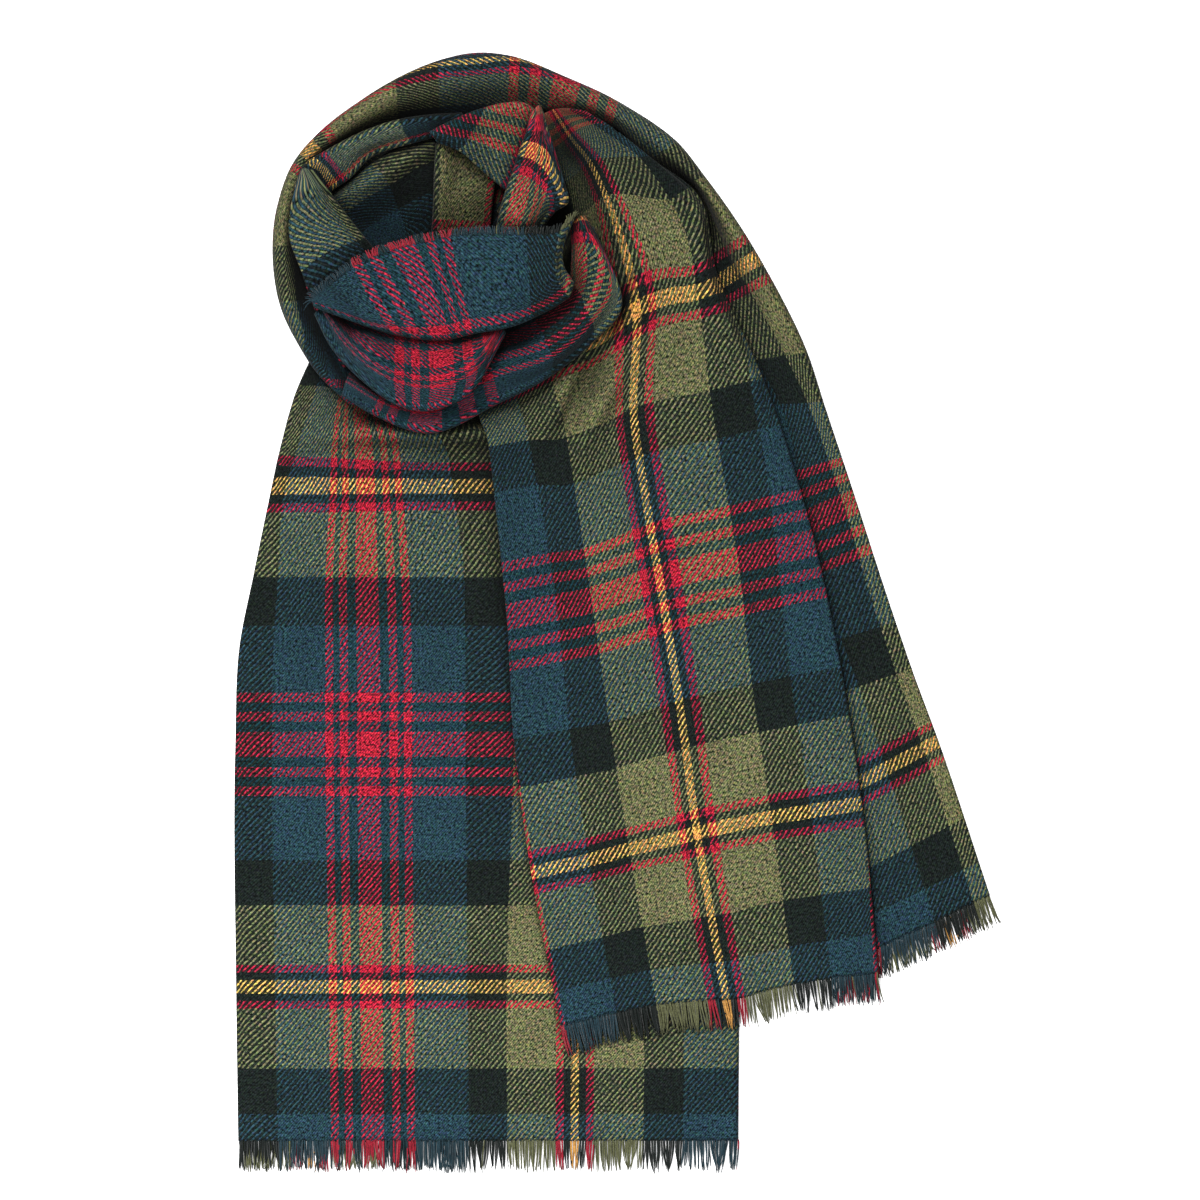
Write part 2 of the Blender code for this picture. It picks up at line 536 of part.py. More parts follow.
def fringe(name, hem, outward, count, length, tip_height):
    """One comb: a strip just off the hem, with a tapered strand at every second cell."""
    at = np.linspace(0, 1, 2 * count + 1)
    at[1:-1] += np.where(np.arange(1, 2 * count) % 2, 0.1, 0) / (2 * count)
    along = np.concatenate([[0], np.cumsum(np.linalg.norm(np.diff(hem, axis=0), axis=1))])
    along /= along[-1]
    line, way = (
        np.column_stack([np.interp(at, along, values[:, k]) for k in range(3)])
        for values in (hem, outward)
    )
    way /= np.linalg.norm(way, axis=1)[:, None]
    up = np.cross(np.gradient(line, axis=0), way)
    up *= 0.7 * np.sign(up[:, 2:]) / np.linalg.norm(up, axis=1)[:, None]
    inner, outer = line + way * 0.5, line + way * 2.3
    points = np.concatenate([inner + up, inner - up, outer + up, outer - up])
    n = len(at)
    faces, tips = [], []
    for k in range(n - 1):
        a, b, c, d = k, k + n, k + 2 * n, k + 3 * n
        faces += [(a, a + 1, c + 1, c), (b, d, d + 1, b + 1), (a, b, b + 1, a + 1)]
        if k % 2:
            faces.append((c, c + 1, d + 1, d))
            continue
        uneven = np.sin(12.9898 * (k + 1)) * 43758.5453 % 1
        sway = (np.sin(78.233 * (k + 1)) * 12543.123 % 1 - 0.5) * 0.12
        side = outer[k + 1] - outer[k]
        middle = (outer[k] + outer[k + 1]) / 2
        far = length * (0.78 + 0.22 * uneven)
        tip = middle + (way[k] + side / np.linalg.norm(side) * sway) * (far - 2.2)
        tip[2] = tip_height(tip)
        half, thick = side * 0.16, up[k] / 2
        first = len(points) + len(tips)
        tips += [tip - half + thick, tip + half + thick, tip + half - thick, tip - half - thick]
        ends = (c, c + 1, d + 1, d)
        for e in range(4):
            f = (e + 1) % 4
            faces.append((ends[e], ends[f], first + f, first + e))
        faces.append((first, first + 1, first + 2, first + 3))
    faces += [(0, 2 * n, 3 * n, n), (n - 1, 2 * n - 1, 4 * n - 1, 3 * n - 1)]
    points = np.concatenate([points, np.array(tips)])
    signed = 0.0
    for f in faces:
        p = points[list(f)]
        signed += np.dot(p[0], np.cross(p[1], p[2]) + np.cross(p[2], p[3]))
    node(name, points, faces if signed > 0 else [f[::-1] for f in faces])


def outer_loop():
    """From the inner edge, hidden or rolled, over the band to its outer fold."""
    x, y, z, fold_x, fold_y, top, reach, under, hidden, run, rolled = np.array(OUTER_LOOP).T
    near, far = np.column_stack([x, y]), np.column_stack([fold_x, fold_y])
    over = (far - near) / np.linalg.norm(far - near, axis=1)[:, None]
    columns = [np.column_stack([near - over * hidden[:, None], z])]
    columns[0][:, :2] += over * (hidden + 2)[:, None] * rolled[:, None]
    columns[0][:, 2] -= 7 * rolled
    side = near - over * (hidden * 0.5 * (1 - rolled))[:, None]
    columns.append(np.column_stack([side, z - 3.2 * rolled]))
    inner = near + over * (2.6 * rolled)[:, None]
    for share, rise in ((0, 0), (1 / 3, 0.45), (2 / 3, 0.85), (1, 1)):
        place = inner + (far - inner) * share
        columns.append(np.column_stack([place, z + (top - z) * rise]))
    net = np.stack(columns, axis=1)
    extra = np.column_stack([top - under, run, reach])[:, None]
    net = np.concatenate([net, np.repeat(extra, net.shape[1], axis=1)], axis=2)
    return net


def main():
    for thing in list(bpy.data.objects):
        bpy.data.objects.remove(thing)
    tops = np.zeros(MAP_CELLS)

    core(tops)

    net = surface(
        np.concatenate(
            [np.array(LEFT_TAIL, float), np.repeat(np.array(LEFT_TAIL_RUN, float)[:, None, None], 8, 1)],
            axis=2,
        ),
        34, 32,
    )
    left = turned(net[..., :3], net[:, 0, 2] - 1.0, net[:, 0, 3], spacing=40)
    wall("tail_left", left)
    remembered(tops, left)

    net = surface(outer_loop(), 24, 60)
    loop = flipped(
        turned(flipped(net[..., :3]), net[:, -1, 3], net[:, -1, 4], net[:, -1, 5], spacing=40)
    )
    wall("loop_outer", loop)
    remembered(tops, loop)

    net = surface(
        np.concatenate(
            [np.array(RIGHT_TAIL, float), np.repeat(np.array(RIGHT_TAIL_RUN, float)[:, None, None], 8, 1)],
            axis=2,
        ),
        30, 34,
    )
    right = flipped(turned(flipped(net[..., :3]), 2.7, net[:, -1, 3], spacing=40))
    right = laid(tops, right, 0.3, 0, 6)
    wall("tail_right_front", right)
    remembered(tops, right)

    def stretch(name, net, spacing, apart, first=None, last=None, bottom=None):
        grid = surface(net, *spacing)
        if bottom:
            grid = crosswise(flipped(turned(flipped(crosswise(grid)), *bottom)))
        if first:
            grid = turned(grid, *first)
        if last:
            grid = flipped(turned(flipped(grid), *last))
        grid = laid(tops, grid, apart, 5 if first else 0, 5 if last else 0)
        wall(name, grid)
        remembered(tops, grid)
        return grid

    stretch("neck_slope", NECK_SLOPE, (16, 10), -0.85)
    stretch("second_wrap", SECOND_WRAP, (13, 9), -1.8, first=(8, 3), last=(6, 2))
    stretch("olive_panel", OLIVE_PANEL, (14, 14), -0.85, first=(9, 3))
    stretch("left_flap", LEFT_FLAP, (13, 9), -0.2, last=(5, 2))
    stretch("ridge_wrap", RIDGE_WRAP, (11, 10), -0.55, first=(10, 4), last=(5, 2))
    stretch("spur_fold", SPUR_FOLD, (12, 8), -1.1, first=(8, 3), last=(7, 3))
    stretch("knot_lip", KNOT_LIP, (9, 17), -0.1, bottom=(10, 4))
    stretch("knot_roll", KNOT_ROLL, (9, 15), -0.05, bottom=(11, 5))
    flap = stretch("knot_flap", KNOT_FLAP, (12, 17), -1.15, bottom=(8, 3), last=(7, 3))

    def hem_of(grid, first, last):
        edge = grid[0, first:last, :3]
        way = (grid[0] - grid[1])[first:last, :3]
        return edge, way / np.linalg.norm(way, axis=1)[:, None]

    fringe("fringe_left", *hem_of(left, 8, None), 50, 23, lambda tip: 1.2)
    fringe("fringe_right_front", *hem_of(right, 0, -5), 36, 21, lambda tip: 3.1 if tip[0] < 95 else 1.3)
    fringe("fringe_right_back", *hem_of(loop, 3, -6), 12, 19, lambda tip: 1.2)
    fringe("fringe_knot", *hem_of(flap, 2, -7), 24, 7, lambda tip: tip[2] + (4 if tip[0] < -150 else 1))


CLOTH = bpy.data.materials.new("brushed tartan cloth")
CLOTH.diffuse_color = (0.06, 0.12, 0.16, 1)
main()
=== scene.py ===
"""Tartan blanket scarf, wound once into a collar and laid down flat.

Each stretch of cloth is a surface worked out from a small net of places: a row for
each crossing of the cloth and a column for each warp line. Every place also knows how
far across and along the cloth it is, and the woven pattern follows that.
"""

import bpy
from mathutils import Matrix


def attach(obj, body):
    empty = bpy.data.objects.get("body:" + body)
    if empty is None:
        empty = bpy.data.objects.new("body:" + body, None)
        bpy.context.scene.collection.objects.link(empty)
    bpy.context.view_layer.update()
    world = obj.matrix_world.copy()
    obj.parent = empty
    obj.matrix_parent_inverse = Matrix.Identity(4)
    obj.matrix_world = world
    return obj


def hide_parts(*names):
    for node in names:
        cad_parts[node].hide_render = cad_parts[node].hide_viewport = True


bl_info = {
    "name": "Tartan blanket scarf",
    "version": (1, 0, 0),
    "blender": (4, 5, 0),
    "location": "View3D > Sidebar > Scarf",
    "description": "Makes a wound tartan scarf with its fringes, woven pattern and studio",
    "category": "Add Mesh",
}

from functools import partial

import bpy
import numpy as np
from bpy.props import FloatProperty, FloatVectorProperty, PointerProperty
from mathutils import Vector

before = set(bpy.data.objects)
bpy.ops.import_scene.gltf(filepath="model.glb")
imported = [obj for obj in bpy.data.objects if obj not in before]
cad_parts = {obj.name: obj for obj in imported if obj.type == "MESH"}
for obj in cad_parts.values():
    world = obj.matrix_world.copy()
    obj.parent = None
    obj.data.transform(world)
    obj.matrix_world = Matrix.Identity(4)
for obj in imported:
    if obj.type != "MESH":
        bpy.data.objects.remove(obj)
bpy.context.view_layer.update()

MM = 0.001
CENTRE = np.array([-3.9, -0.3])  # the tables' place of the part's origin, mm
CELL = 2.0  # of the map of heights, mm
MAP_FROM = np.array([-300.0, -420.0])
MAP_CELLS = (300, 420)
HALF_WIDTH = 253.4  # from the cloth's middle to a selvedge, mm
LEAST_LIFT = 0.15  # a smaller rise isn't made, mm
STEEPEST = 0.5  # rise of a lifted cloth to its run
CLOSE = 1.5  # between a surface's points that are compared with the map, mm
MOST_UPRIGHT = 2.2  # greatest height of a leaning wall to its thickness

# The nets. Places are (x, y, z) in mm, with +Y to the top of the collar.
# LEFT_TAIL's columns: outer fold, black band, red group start, its end, blue end,
# black end, yellow line, selvedge. Rows from the hem up to the knot.
LEFT_TAIL = (
    ((-266.5, -369, 3.6), (-238, -369, 3.6), (-201, -369, 3.6), (-143, -369, 3.6),
     (-105.5, -369, 3.6), (-78.5, -369, 1.2), (-31, -369, 1), (83.5, -369, 1)),
    ((-268, -261, 3.6), (-240, -261, 3.6), (-202.5, -261, 3.6), (-144, -261, 3.6),
     (-106.5, -261, 3.6), (-79, -261, 1.2), (-31, -261, 1), (84, -261, 1)),
    ((-268.5, -91.5, 3.6), (-242, -91.5, 3.6), (-205, -91.5, 3.6), (-145, -91.5, 3.6),
     (-108, -91.5, 3.6), (-74, -91.5, 1.2), (-35, -91.5, 1), (80, -91.5, 1)),
    ((-265.5, -22, 3.6), (-241, -22, 3.6), (-205, -22, 3.6), (-145.5, -22, 3.6),
     (-108.5, -22, 3.6), (-73.5, -22, 1.2), (-39, -22, 1), (67, -22, 1)),
    ((-256, 26, 3.6), (-238, 26, 3.6), (-205, 26, 3.8), (-147, 26, 4),
     (-109, 26, 3.8), (-79.5, 26, 1.6), (-43, 26, 1.2), (42.5, 26, 1)),
    ((-243, 89, 4), (-232.5, 89, 4.5), (-201.5, 89, 6), (-152, 89, 6.5),
     (-117, 89, 6), (-87, 89, 4), (-56, 89, 2), (14.5, 89, 1.2)),
    ((-238.5, 110, 5), (-226, 111, 5), (-201, 113, 5), (-154, 115, 3.8),
     (-121, 114.5, 3.6), (-90, 115.5, 3.6), (-60, 114, 3), (0.5, 110, 1.5)),
    ((-235, 124, 6), (-222, 124, 8), (-199.5, 124, 12), (-156, 125, 17),
     (-125.5, 124, 18), (-95, 126, 16), (-65, 125, 8), (-10, 124, 2)),
    ((-230.5, 141, 7), (-216.5, 141, 9), (-197.5, 141, 9), (-163, 141, 7),
     (-132.5, 141, 6), (-111.5, 141, 6), (-83.5, 141, 6), (-24, 141, 2)),
    ((-222.5, 163.5, 7), (-209.5, 163.5, 8), (-194.5, 163.5, 9), (-170, 163.5, 9),
     (-145, 163.5, 9), (-125.5, 163.5, 8), (-97.5, 163.5, 6), (-41.5, 163.5, 2)),
    ((-211, 188, 6), (-203, 188, 7), (-193, 184, 8), (-172, 175, 10),
     (-146, 172, 10.5), (-126, 172, 10), (-98, 172, 8), (-46, 172, 3)),
)
LEFT_TAIL_ALONG = (
    (-108.5,) * 8, (0,) * 8, (171.2,) * 8, (240,) * 8, (285.4,) * 8, (342.4,) * 8,
    (357.5, 358.5, 361, 366, 366.5, 367.5, 366, 362),
    (371, 371, 371.5, 376, 377, 379, 377, 376),
    (384, 384, 386, 393, 396, 396, 395, 395),
    (404, 404, 407, 420, 425, 425, 425, 425),
    (427, 427, 427, 431, 433, 433, 433, 433),
)
LEFT_TAIL_ACROSS = tuple(
    (fold, -66.3, -28.9, 28.9, 66.3, 93.5, 141.3, 253.4)
    for fold in (-89, -89, -88.5, -87, -81, -77, -80, -82, -84, -86, -86)
)
LEFT_TAIL_RUN = (155, 155, 154, 150, 140, 118, 100, 84, 66, 42, 25)  # turned under

# Columns: selvedge, blue end, black end, valley, yellow line, black, blue, front fold.
RIGHT_TAIL = (
    ((-40.5, -289, 3.6), (-2, -279.5, 3.6), (26, -274, 3.6), (56.5, -271, 3.6),
     (75, -270.5, 3.6), (123, -259.5, 4.5), (149, -255, 8.6), (181.5, -251, 8.9)),
    ((-61.5, -181.5, 3.6), (-21.5, -172.5, 3.6), (7, -165, 3.6), (37, -158, 3.6),
     (54.5, -153.5, 3.6), (107, -142.5, 4.5), (134.5, -138, 8.6), (170, -132.5, 8.9)),
    ((-73.5, -92, 5), (-34.5, -85, 3.8), (-6.5, -80, 3.6), (24, -70.5, 3.6),
     (42.5, -65, 3.6), (94, -53.5, 4.5), (121, -48, 8.6), (156, -41, 8.9)),
    ((-78.5, -2.5, 9), (-44, 4.5, 4.5), (-19.5, 9.5, 3.6), (10, 18.5, 3.6),
     (28, 25, 3.6), (83.5, 37.5, 5), (110.5, 44, 8.6), (137, 49.5, 8.9)),
    ((-84.5, 57.5, 12), (-53, 63.5, 6), (-28, 66, 4.5), (0.5, 77.5, 4.5),
     (18, 84.5, 4.5), (73.5, 97, 6.5), (103, 104, 8.8), (120.5, 108, 9.2)),
    ((-91, 117, 15), (-63.5, 121.5, 10), (-37, 123.5, 10), (-7.5, 135.5, 7),
     (10, 144, 8), (63.5, 156.5, 11), (92, 163, 12), (101, 164, 9)),
    ((-98, 150, 12), (-72, 162, 12), (-48, 179, 12), (-10.5, 195, 9),
     (12, 212, 12), (55, 224.5, 16), (65, 228, 17), (71, 230.5, 10)),
    ((-55.5, 219.5, 16), (-44, 239, 18), (-31, 272, 16), (-19, 284, 11),
     (-9, 291, 19), (36, 288.5, 20), (45.5, 294, 20), (50.5, 297, 13)),
    ((-62.5, 254.5, 18), (-52, 275.5, 18), (-37, 300, 14), (-27.5, 309, 10),
     (-20.5, 315.5, 16), (14, 318, 18), (20, 317.5, 16), (24, 314.5, 13)),
    ((-69.5, 286, 18), (-59, 307, 17), (-47, 323, 14), (-40, 328.5, 10),
     (-34.5, 333.5, 13), (-17.5, 341, 15), (-11, 341, 13), (-7.5, 338.5, 12)),
    ((-75, 310.5, 18), (-66, 330, 16), (-56, 345, 14), (-51, 349, 12),
     (-46, 351, 12), (-34.5, 351, 14), (-28, 350, 14), (-23, 349, 14)),
)
RIGHT_TAIL_ALONG = (-116, 0, 85.6, 171.2, 228, 285.4, 342.4, 399.4, 432, 477, 520)
RIGHT_TAIL_ACROSS = tuple(
    (edge, -216.2, -189, -160, -141.3, -93.5, *ends)
    for edge, *ends in (
        (-253.4, -66.3, -27.5), (-253.4, -66.3, -32), (-251, -66.3, -32.5), (-250.5, -66.3, -40),
        (-250.5, -66.3, -47), (-250.5, -66.3, -57), (-250.5, -86, -78), (-253.4, -84, -76),
        (-253.4, -82, -74), (-253.4, -85, -80), (-253.4, -85, -80),
    )
)
RIGHT_TAIL_RUN = (27, 28, 28, 21, 14, 8, 6, 5, 4, 3, 3)

# Columns: along the cloth; inner edge x, y, z and across; outer fold x, y and across;
# height of its top; width of its turn; height of the cloth turned under; inner edge's
# run beneath the front layer; length turned under; how far the inner edge is rolled.
OUTER_LOOP = (
    (-114, 182.5, -234, 3.5, 28.9, 259.5, -197, 105, 3.5, 1.3, 1, 27, 126, 0),
    (0, 168, -118.5, 3.5, 47, 223.5, -89, 105, 3.5, 1.3, 1, 27, 126, 0),
    (57, 161.5, -53.5, 3.5, 60, 205, -39, 105, 3.5, 1.3, 1, 27, 122, 0),
    (114, 143.5, 6, 3.5, 64, 185, 20, 104, 3.5, 1.3, 1, 25, 115, 0),
    (171.2, 131, 63.5, 3.5, 66, 166, 79, 103, 3.5, 1.3, 1, 21, 98, 0),
    (252.8, 115, 146.5, 3.5, 70, 143, 148, 109, 8, 3, 1, 15, 70, 0),
    (285.4, 101.5, 179, 3.5, 74, 131.5, 183, 113, 12, 4.5, 1, 18, 50, 0),
    (342.4, 80, 238, 3.5, 88, 98, 249, 108, 17, 6, 1, 22, 32, 0),
    (399.4, 53.5, 302, 7, 96, 61, 304, 104, 21, 6, 1, 18, 22, 0.2),
    (432, 24, 317, 19, 97, 40.5, 329.5, 112, 25, 7, 1, 6, 18, 0.8),
    (477.5, -5, 341, 22, 98, -0.5, 357.5, 114, 28, 8, 1, 4, 12, 1),
    (513.6, -41.5, 349.5, 21, 95, -35.5, 374, 121, 28, 9, 1, 4, 9, 1),
    (549.8, -77.5, 351, 21, 93, -76.5, 389.5, 130, 30, 11, 1, 6, 12, 1),
    (572, -98.5, 346, 17, 84, -98.5, 391.5, 134.5, 31, 12, 1, 6, 18, 1),
    (595.3, -125.5, 342.5, 16, 80, -126, 386, 130, 31, 12, 1, 6, 18, 1),
    (628, -154.5, 341, 17, 76, -156, 373, 123, 31, 11, 1, 6, 18, 1),
    (650, -178, 333.5, 19, 84, -180.5, 358, 118, 31, 10, 1, 6, 18, 1),
    (672.8, -196.5, 323, 20, 91, -206, 339, 118, 31, 8, 1, 6, 15, 1),
    (696.8, -215.5, 305, 20, 96, -229, 312, 112, 31, 7, 1, 6, 15, 1),
    (720, -220.5, 285, 19, 95, -238.5, 285, 114, 31, 8, 1, 6, 15, 1),
    (742, -224, 256, 18, 88, -242, 256, 114, 30, 8, 1, 6, 15, 1),
    (774, -217, 219.5, 18, 72, -237.5, 217.5, 104, 27, 8, 1, 6, 14, 1),
    (797, -204.5, 188, 17, 56, -224, 188, 90, 24, 7, 5, 12, 10, 0),
    (820, -189, 161.5, 17, 38, -208, 165, 66, 22, 6, 12.5, 18, 6, 0),
    (840, -173, 144, 17, 20, -188.5, 146.5, 44, 19, 4, 14, 18, 4, 0),
)

# Columns: under the wrap, crest, wall, foot, floor of the neck opening, under the knot.
NECK_SLOPE = (
    ((-213, 274, 22), (-206, 274, 24), (-196.5, 265, 16), (-188.5, 257, 10),
     (-178, 250, 6), (-171, 240, 5.5)),
    ((-206, 286, 24), (-196.5, 288, 27), (-187, 278, 18), (-180, 268.5, 10),
     (-171, 258, 6), (-164, 243, 5)),
    ((-188.5, 300, 25), (-180, 298, 29), (-173, 289.5, 18), (-166, 279, 9),
     (-159, 267, 6), (-154, 248, 5)),
    ((-168.5, 315.5, 27), (-161.5, 309, 31), (-156, 299, 19), (-152, 286.5, 9),
     (-147.5, 272, 6), (-146, 250, 5)),
    ((-146.5, 326, 28), (-142, 320, 33), (-139.5, 309, 20), (-136.5, 295, 9),
     (-135, 279, 6), (-136, 252, 5)),
    ((-129.5, 331.5, 28), (-127.5, 325, 31), (-125.5, 314, 20), (-124, 298, 9),
     (-122.5, 282.5, 6), (-126, 254, 5)),
)

# Columns: ridge, middle, lower fold. From the left flap up to the spur.
SECOND_WRAP = (
    ((-226, 296.5, 30), (-221, 289.5, 28), (-210.5, 279, 22)),
    ((-219, 312, 34), (-210.5, 307, 33), (-200, 293.5, 25)),
    ((-202.5, 323, 36), (-196.5, 315.5, 35), (-187, 303, 26)),
    ((-182.5, 333.5, 38), (-180, 324.5, 36), (-173, 317, 28)),
    ((-153.5, 343.5, 38), (-150, 335.5, 36), (-145, 326.5, 30)),
    ((-132.5, 347, 34), (-129.5, 340, 32), (-125.5, 331.5, 28)),
    ((-110, 349, 28), (-107, 343.5, 26), (-104.5, 335.5, 24)),
)

# Columns: left fold, middle, right end. From the top down into the neck opening.
OLIVE_PANEL = (
    ((-127.5, 327, 33), (-108, 328, 30), (-83.5, 319, 28)),
    ((-129, 303.5, 28), (-109, 302, 26), (-87, 296.5, 22)),
    ((-130, 281, 22), (-111.5, 281, 19), (-89, 279.5, 15)),
    ((-131.5, 261.5, 14), (-112.5, 260, 12), (-90.5, 259.5, 10)),
    ((-132.5, 247.5, 9), (-114, 246, 8), (-91.5, 246, 8)),
)

# Columns: selvedge, middle, fold over the neck opening. From its tip down.
LEFT_FLAP = (
    ((-221, 306, 38), (-217, 308.5, 39), (-212, 307, 38)),
    ((-228, 282.5, 37), (-213.5, 291, 41), (-199.5, 291, 36)),
    ((-229, 261.5, 36), (-210.5, 270, 41), (-189, 277, 33)),
    ((-221, 238.5, 34), (-203.5, 251, 39), (-177, 262, 31)),
    ((-213.5, 216, 30), (-195.5, 230, 34), (-164.5, 246, 28)),
    ((-203.5, 193, 24), (-185, 209, 27), (-159, 225, 25)),
    ((-192, 170.5, 17), (-177, 186, 19), (-154.5, 204, 18)),
)

# Columns: crest, slope, lower fold. From left to right over the top of the collar.
RIDGE_WRAP = (
    ((-131.5, 334, 38), (-129, 331, 37), (-126, 327, 35)),
    ((-122.5, 339, 42), (-117, 330, 40), (-110.5, 321, 34)),
    ((-110, 345, 46), (-101.5, 329.5, 42), (-94.5, 307.5, 32)),
    ((-96, 350.5, 49), (-85.5, 330, 43), (-79, 295, 31)),
    ((-80, 354.5, 50), (-73, 333, 43), (-71.5, 291, 30)),
    ((-66, 354.5, 49), (-62.5, 331.5, 42), (-64.5, 287.5, 29)),
    ((-55.5, 347.5, 46), (-54, 327, 40), (-58, 286, 28)),
)

# Columns: left fold, middle, inner fold, right fold. From the tip down to the knot.
SPUR_FOLD = (
    ((-61.5, 345.5, 51), (-58, 348, 52), (-55.5, 347.5, 52), (-52.5, 344, 51)),
    ((-64.5, 334, 51), (-57.5, 334, 53), (-52, 332, 53), (-46, 324.5, 49)),
    ((-69.5, 321.5, 49), (-59, 319.5, 52), (-48.5, 312, 50), (-38, 298, 44)),
    ((-74, 307.5, 45), (-62.5, 304, 49), (-50.5, 296.5, 46), (-35, 286, 40)),
    ((-80, 291, 41), (-65, 287.5, 45), (-52.5, 284, 42), (-44, 279.5, 36)),
    ((-84.5, 274, 37), (-70, 272, 41), (-56.5, 270.5, 38), (-52, 268, 34)),
    ((-87.5, 260, 33), (-72, 258, 36), (-59.5, 256.5, 34), (-54.5, 255, 31)),
)

# Columns: left end, red group, centre, its end, blue end, black end, olive end, tip.
# Rows from the hidden top down to the lower fold.
KNOT_LIP = (
    ((-187, 169, 15), (-162.5, 158, 22), (-133.5, 156.5, 25), (-98.5, 193, 20),
     (-63.5, 207, 18), (-36.5, 225, 20), (-33, 246, 24), (-34, 271, 30)),
    ((-188.5, 165.5, 17), (-164.5, 154.5, 25), (-133.5, 151, 27), (-94.5, 183, 27),
     (-56.5, 200, 24), (-28.5, 225, 24), (-28, 247, 27), (-30.5, 274, 32)),
    ((-189.5, 162, 18), (-167.5, 149.5, 27), (-134.5, 145, 29), (-91, 175.5, 37),
     (-51, 188, 34), (-23, 211, 33), (-12.5, 240.5, 31), (-26, 275, 32)),
    ((-191, 158, 17), (-169.5, 145, 25), (-135, 138, 27), (-88, 165, 36),
     (-47.5, 177.5, 34), (-19, 201, 32), (-5.5, 228, 28), (-22.5, 274, 30)),
    ((-193, 151.5, 13), (-173, 139, 19), (-136.5, 125.5, 21), (-83.5, 146.5, 27),
     (-48.5, 165, 26), (-17.5, 190, 24), (1.5, 212.5, 22), (-17, 267, 26)),
)

# Columns: left corner, upper left, red group, centre, second red, red group end.
KNOT_ROLL = (
    ((-208, 216, 28), (-187, 207, 33), (-156, 198.5, 37), (-125.5, 196.5, 40),
     (-105, 203, 36), (-84, 204, 30)),
    ((-209.5, 213, 29), (-187.5, 196, 37), (-155.5, 181, 42), (-123, 177, 46),
     (-103, 184, 43), (-82, 201, 33)),
    ((-210, 211, 30), (-192, 188, 38), (-155.5, 167.5, 44), (-123, 164, 46),
     (-102, 173, 43), (-81, 198.5, 33)),
    ((-210.5, 209.5, 29), (-194.5, 185, 36), (-155.5, 160, 41), (-123, 156, 42),
     (-101, 166, 39), (-80, 197, 32)),
    ((-212, 208, 26), (-198, 181.5, 29), (-154, 144.5, 31), (-125.5, 142, 31),
     (-104, 153, 30), (-79, 194, 30)),
)

# Columns: left corner, red group, centre, its end, blue end, black end, right fold.
KNOT_FLAP = (
    ((-213.5, 216.5, 33), (-184, 241, 42), (-150, 254.5, 47), (-117, 261.5, 48),
     (-66, 263.5, 46), (-41.5, 265.5, 43), (-31, 275.5, 40)),
    ((-212, 215, 34), (-175.5, 224.5, 47), (-139.5, 233.5, 52), (-113.5, 240.5, 53),
     (-63.5, 243, 50), (-45, 247, 46), (-38.5, 256.5, 40)),
    ((-211.5, 214, 34), (-164.5, 205.5, 48), (-129.5, 211, 53), (-107, 216, 53),
     (-62.5, 221.5, 49), (-43, 231.5, 45), (-38.5, 241.9, 40)),
    ((-210.5, 212, 32), (-155.5, 193.5, 41), (-122, 189.5, 44), (-101, 193.5, 45),
     (-61.5, 204, 43), (-35, 220, 40), (-30.8, 229.3, 37)),
)

# The padding inside the collar. Columns: direction in degrees, radius of the floor,
# radius where it is full, outer radius, height, radius of the low layer beneath it.
PADDING_AT = (-146.0, 262.0)
PADDING = (
    (0, 30, 74, 84, 12, 165), (16, 27, 70, 88, 15, 186), (30, 24, 66, 92, 18, 162),
    (45, 20, 60, 88, 20, 144),
    (60, 18, 56, 84, 20, 106), (90, 18, 52, 68, 20, 77), (120, 20, 50, 57, 17, 65),
    (150, 24, 50, 56, 15, 70), (180, 26, 48, 55, 15, 71), (210, 24, 42, 56, 17, 73),
    (240, 22, 38, 62, 20, 78), (270, 24, 38, 76, 22, 86), (300, 28, 46, 78, 22, 90),
    (330, 32, 66, 80, 16, 138),
)
PADDING_FLOOR, PADDING_LOW = 3.0, 8.0

# Soft puffs and hollows. Columns: x, y, half length, half width, direction in degrees,
# height.
TAIL_SWELLS = (
    (-45, 140, 40, 9, 20, 2.5),
    (-27, 157, 40, 6, 66, -7),
    (-10, 150, 30, 8, 66, 8),
    (-42, 150, 26, 8, 66, 5),
    (1, 216, 22, 5, 72, -9),
    (-12, 330, 40, 9, -52, -5),
)

tops = np.zeros(MAP_CELLS)  # heights of the cloth laid so far, mm
made = {}  # surfaces by piece


def linear(hex_colour):
    """A six-figure sRGB hex value as linear RGBA."""
    value = np.array([int(hex_colour[i : i + 2], 16) for i in (1, 3, 5)]) / 255
    out = np.where(value <= 0.04045, value / 12.92, ((value + 0.055) / 1.055) ** 2.4)
    return (*out.tolist(), 1.0)


# --- surfaces


def cloth_net(rows, along, across):
    """One array of (x, y, z, across, along) from the places and the cloth's own scale."""
    places = np.array(rows, float)
    zero = places[..., 0] * 0
    return np.dstack([places, across + zero, np.reshape(along, (len(rows), -1)) + zero])


def seen_along(places, origin, direction):
    """Distances from the origin along the direction, in degrees, and to its left."""
    turn = np.radians(direction)
    x, y = np.moveaxis(np.array(places, float)[..., :2] - origin, -1, 0)
    return x * np.cos(turn) + y * np.sin(turn), y * np.cos(turn) - x * np.sin(turn)


def steps(grid, axis, size=2):
    """Distances between neighbours along the axis, in the plan or with their heights."""
    return np.linalg.norm(np.diff(grid[..., :size], axis=axis), axis=-1)


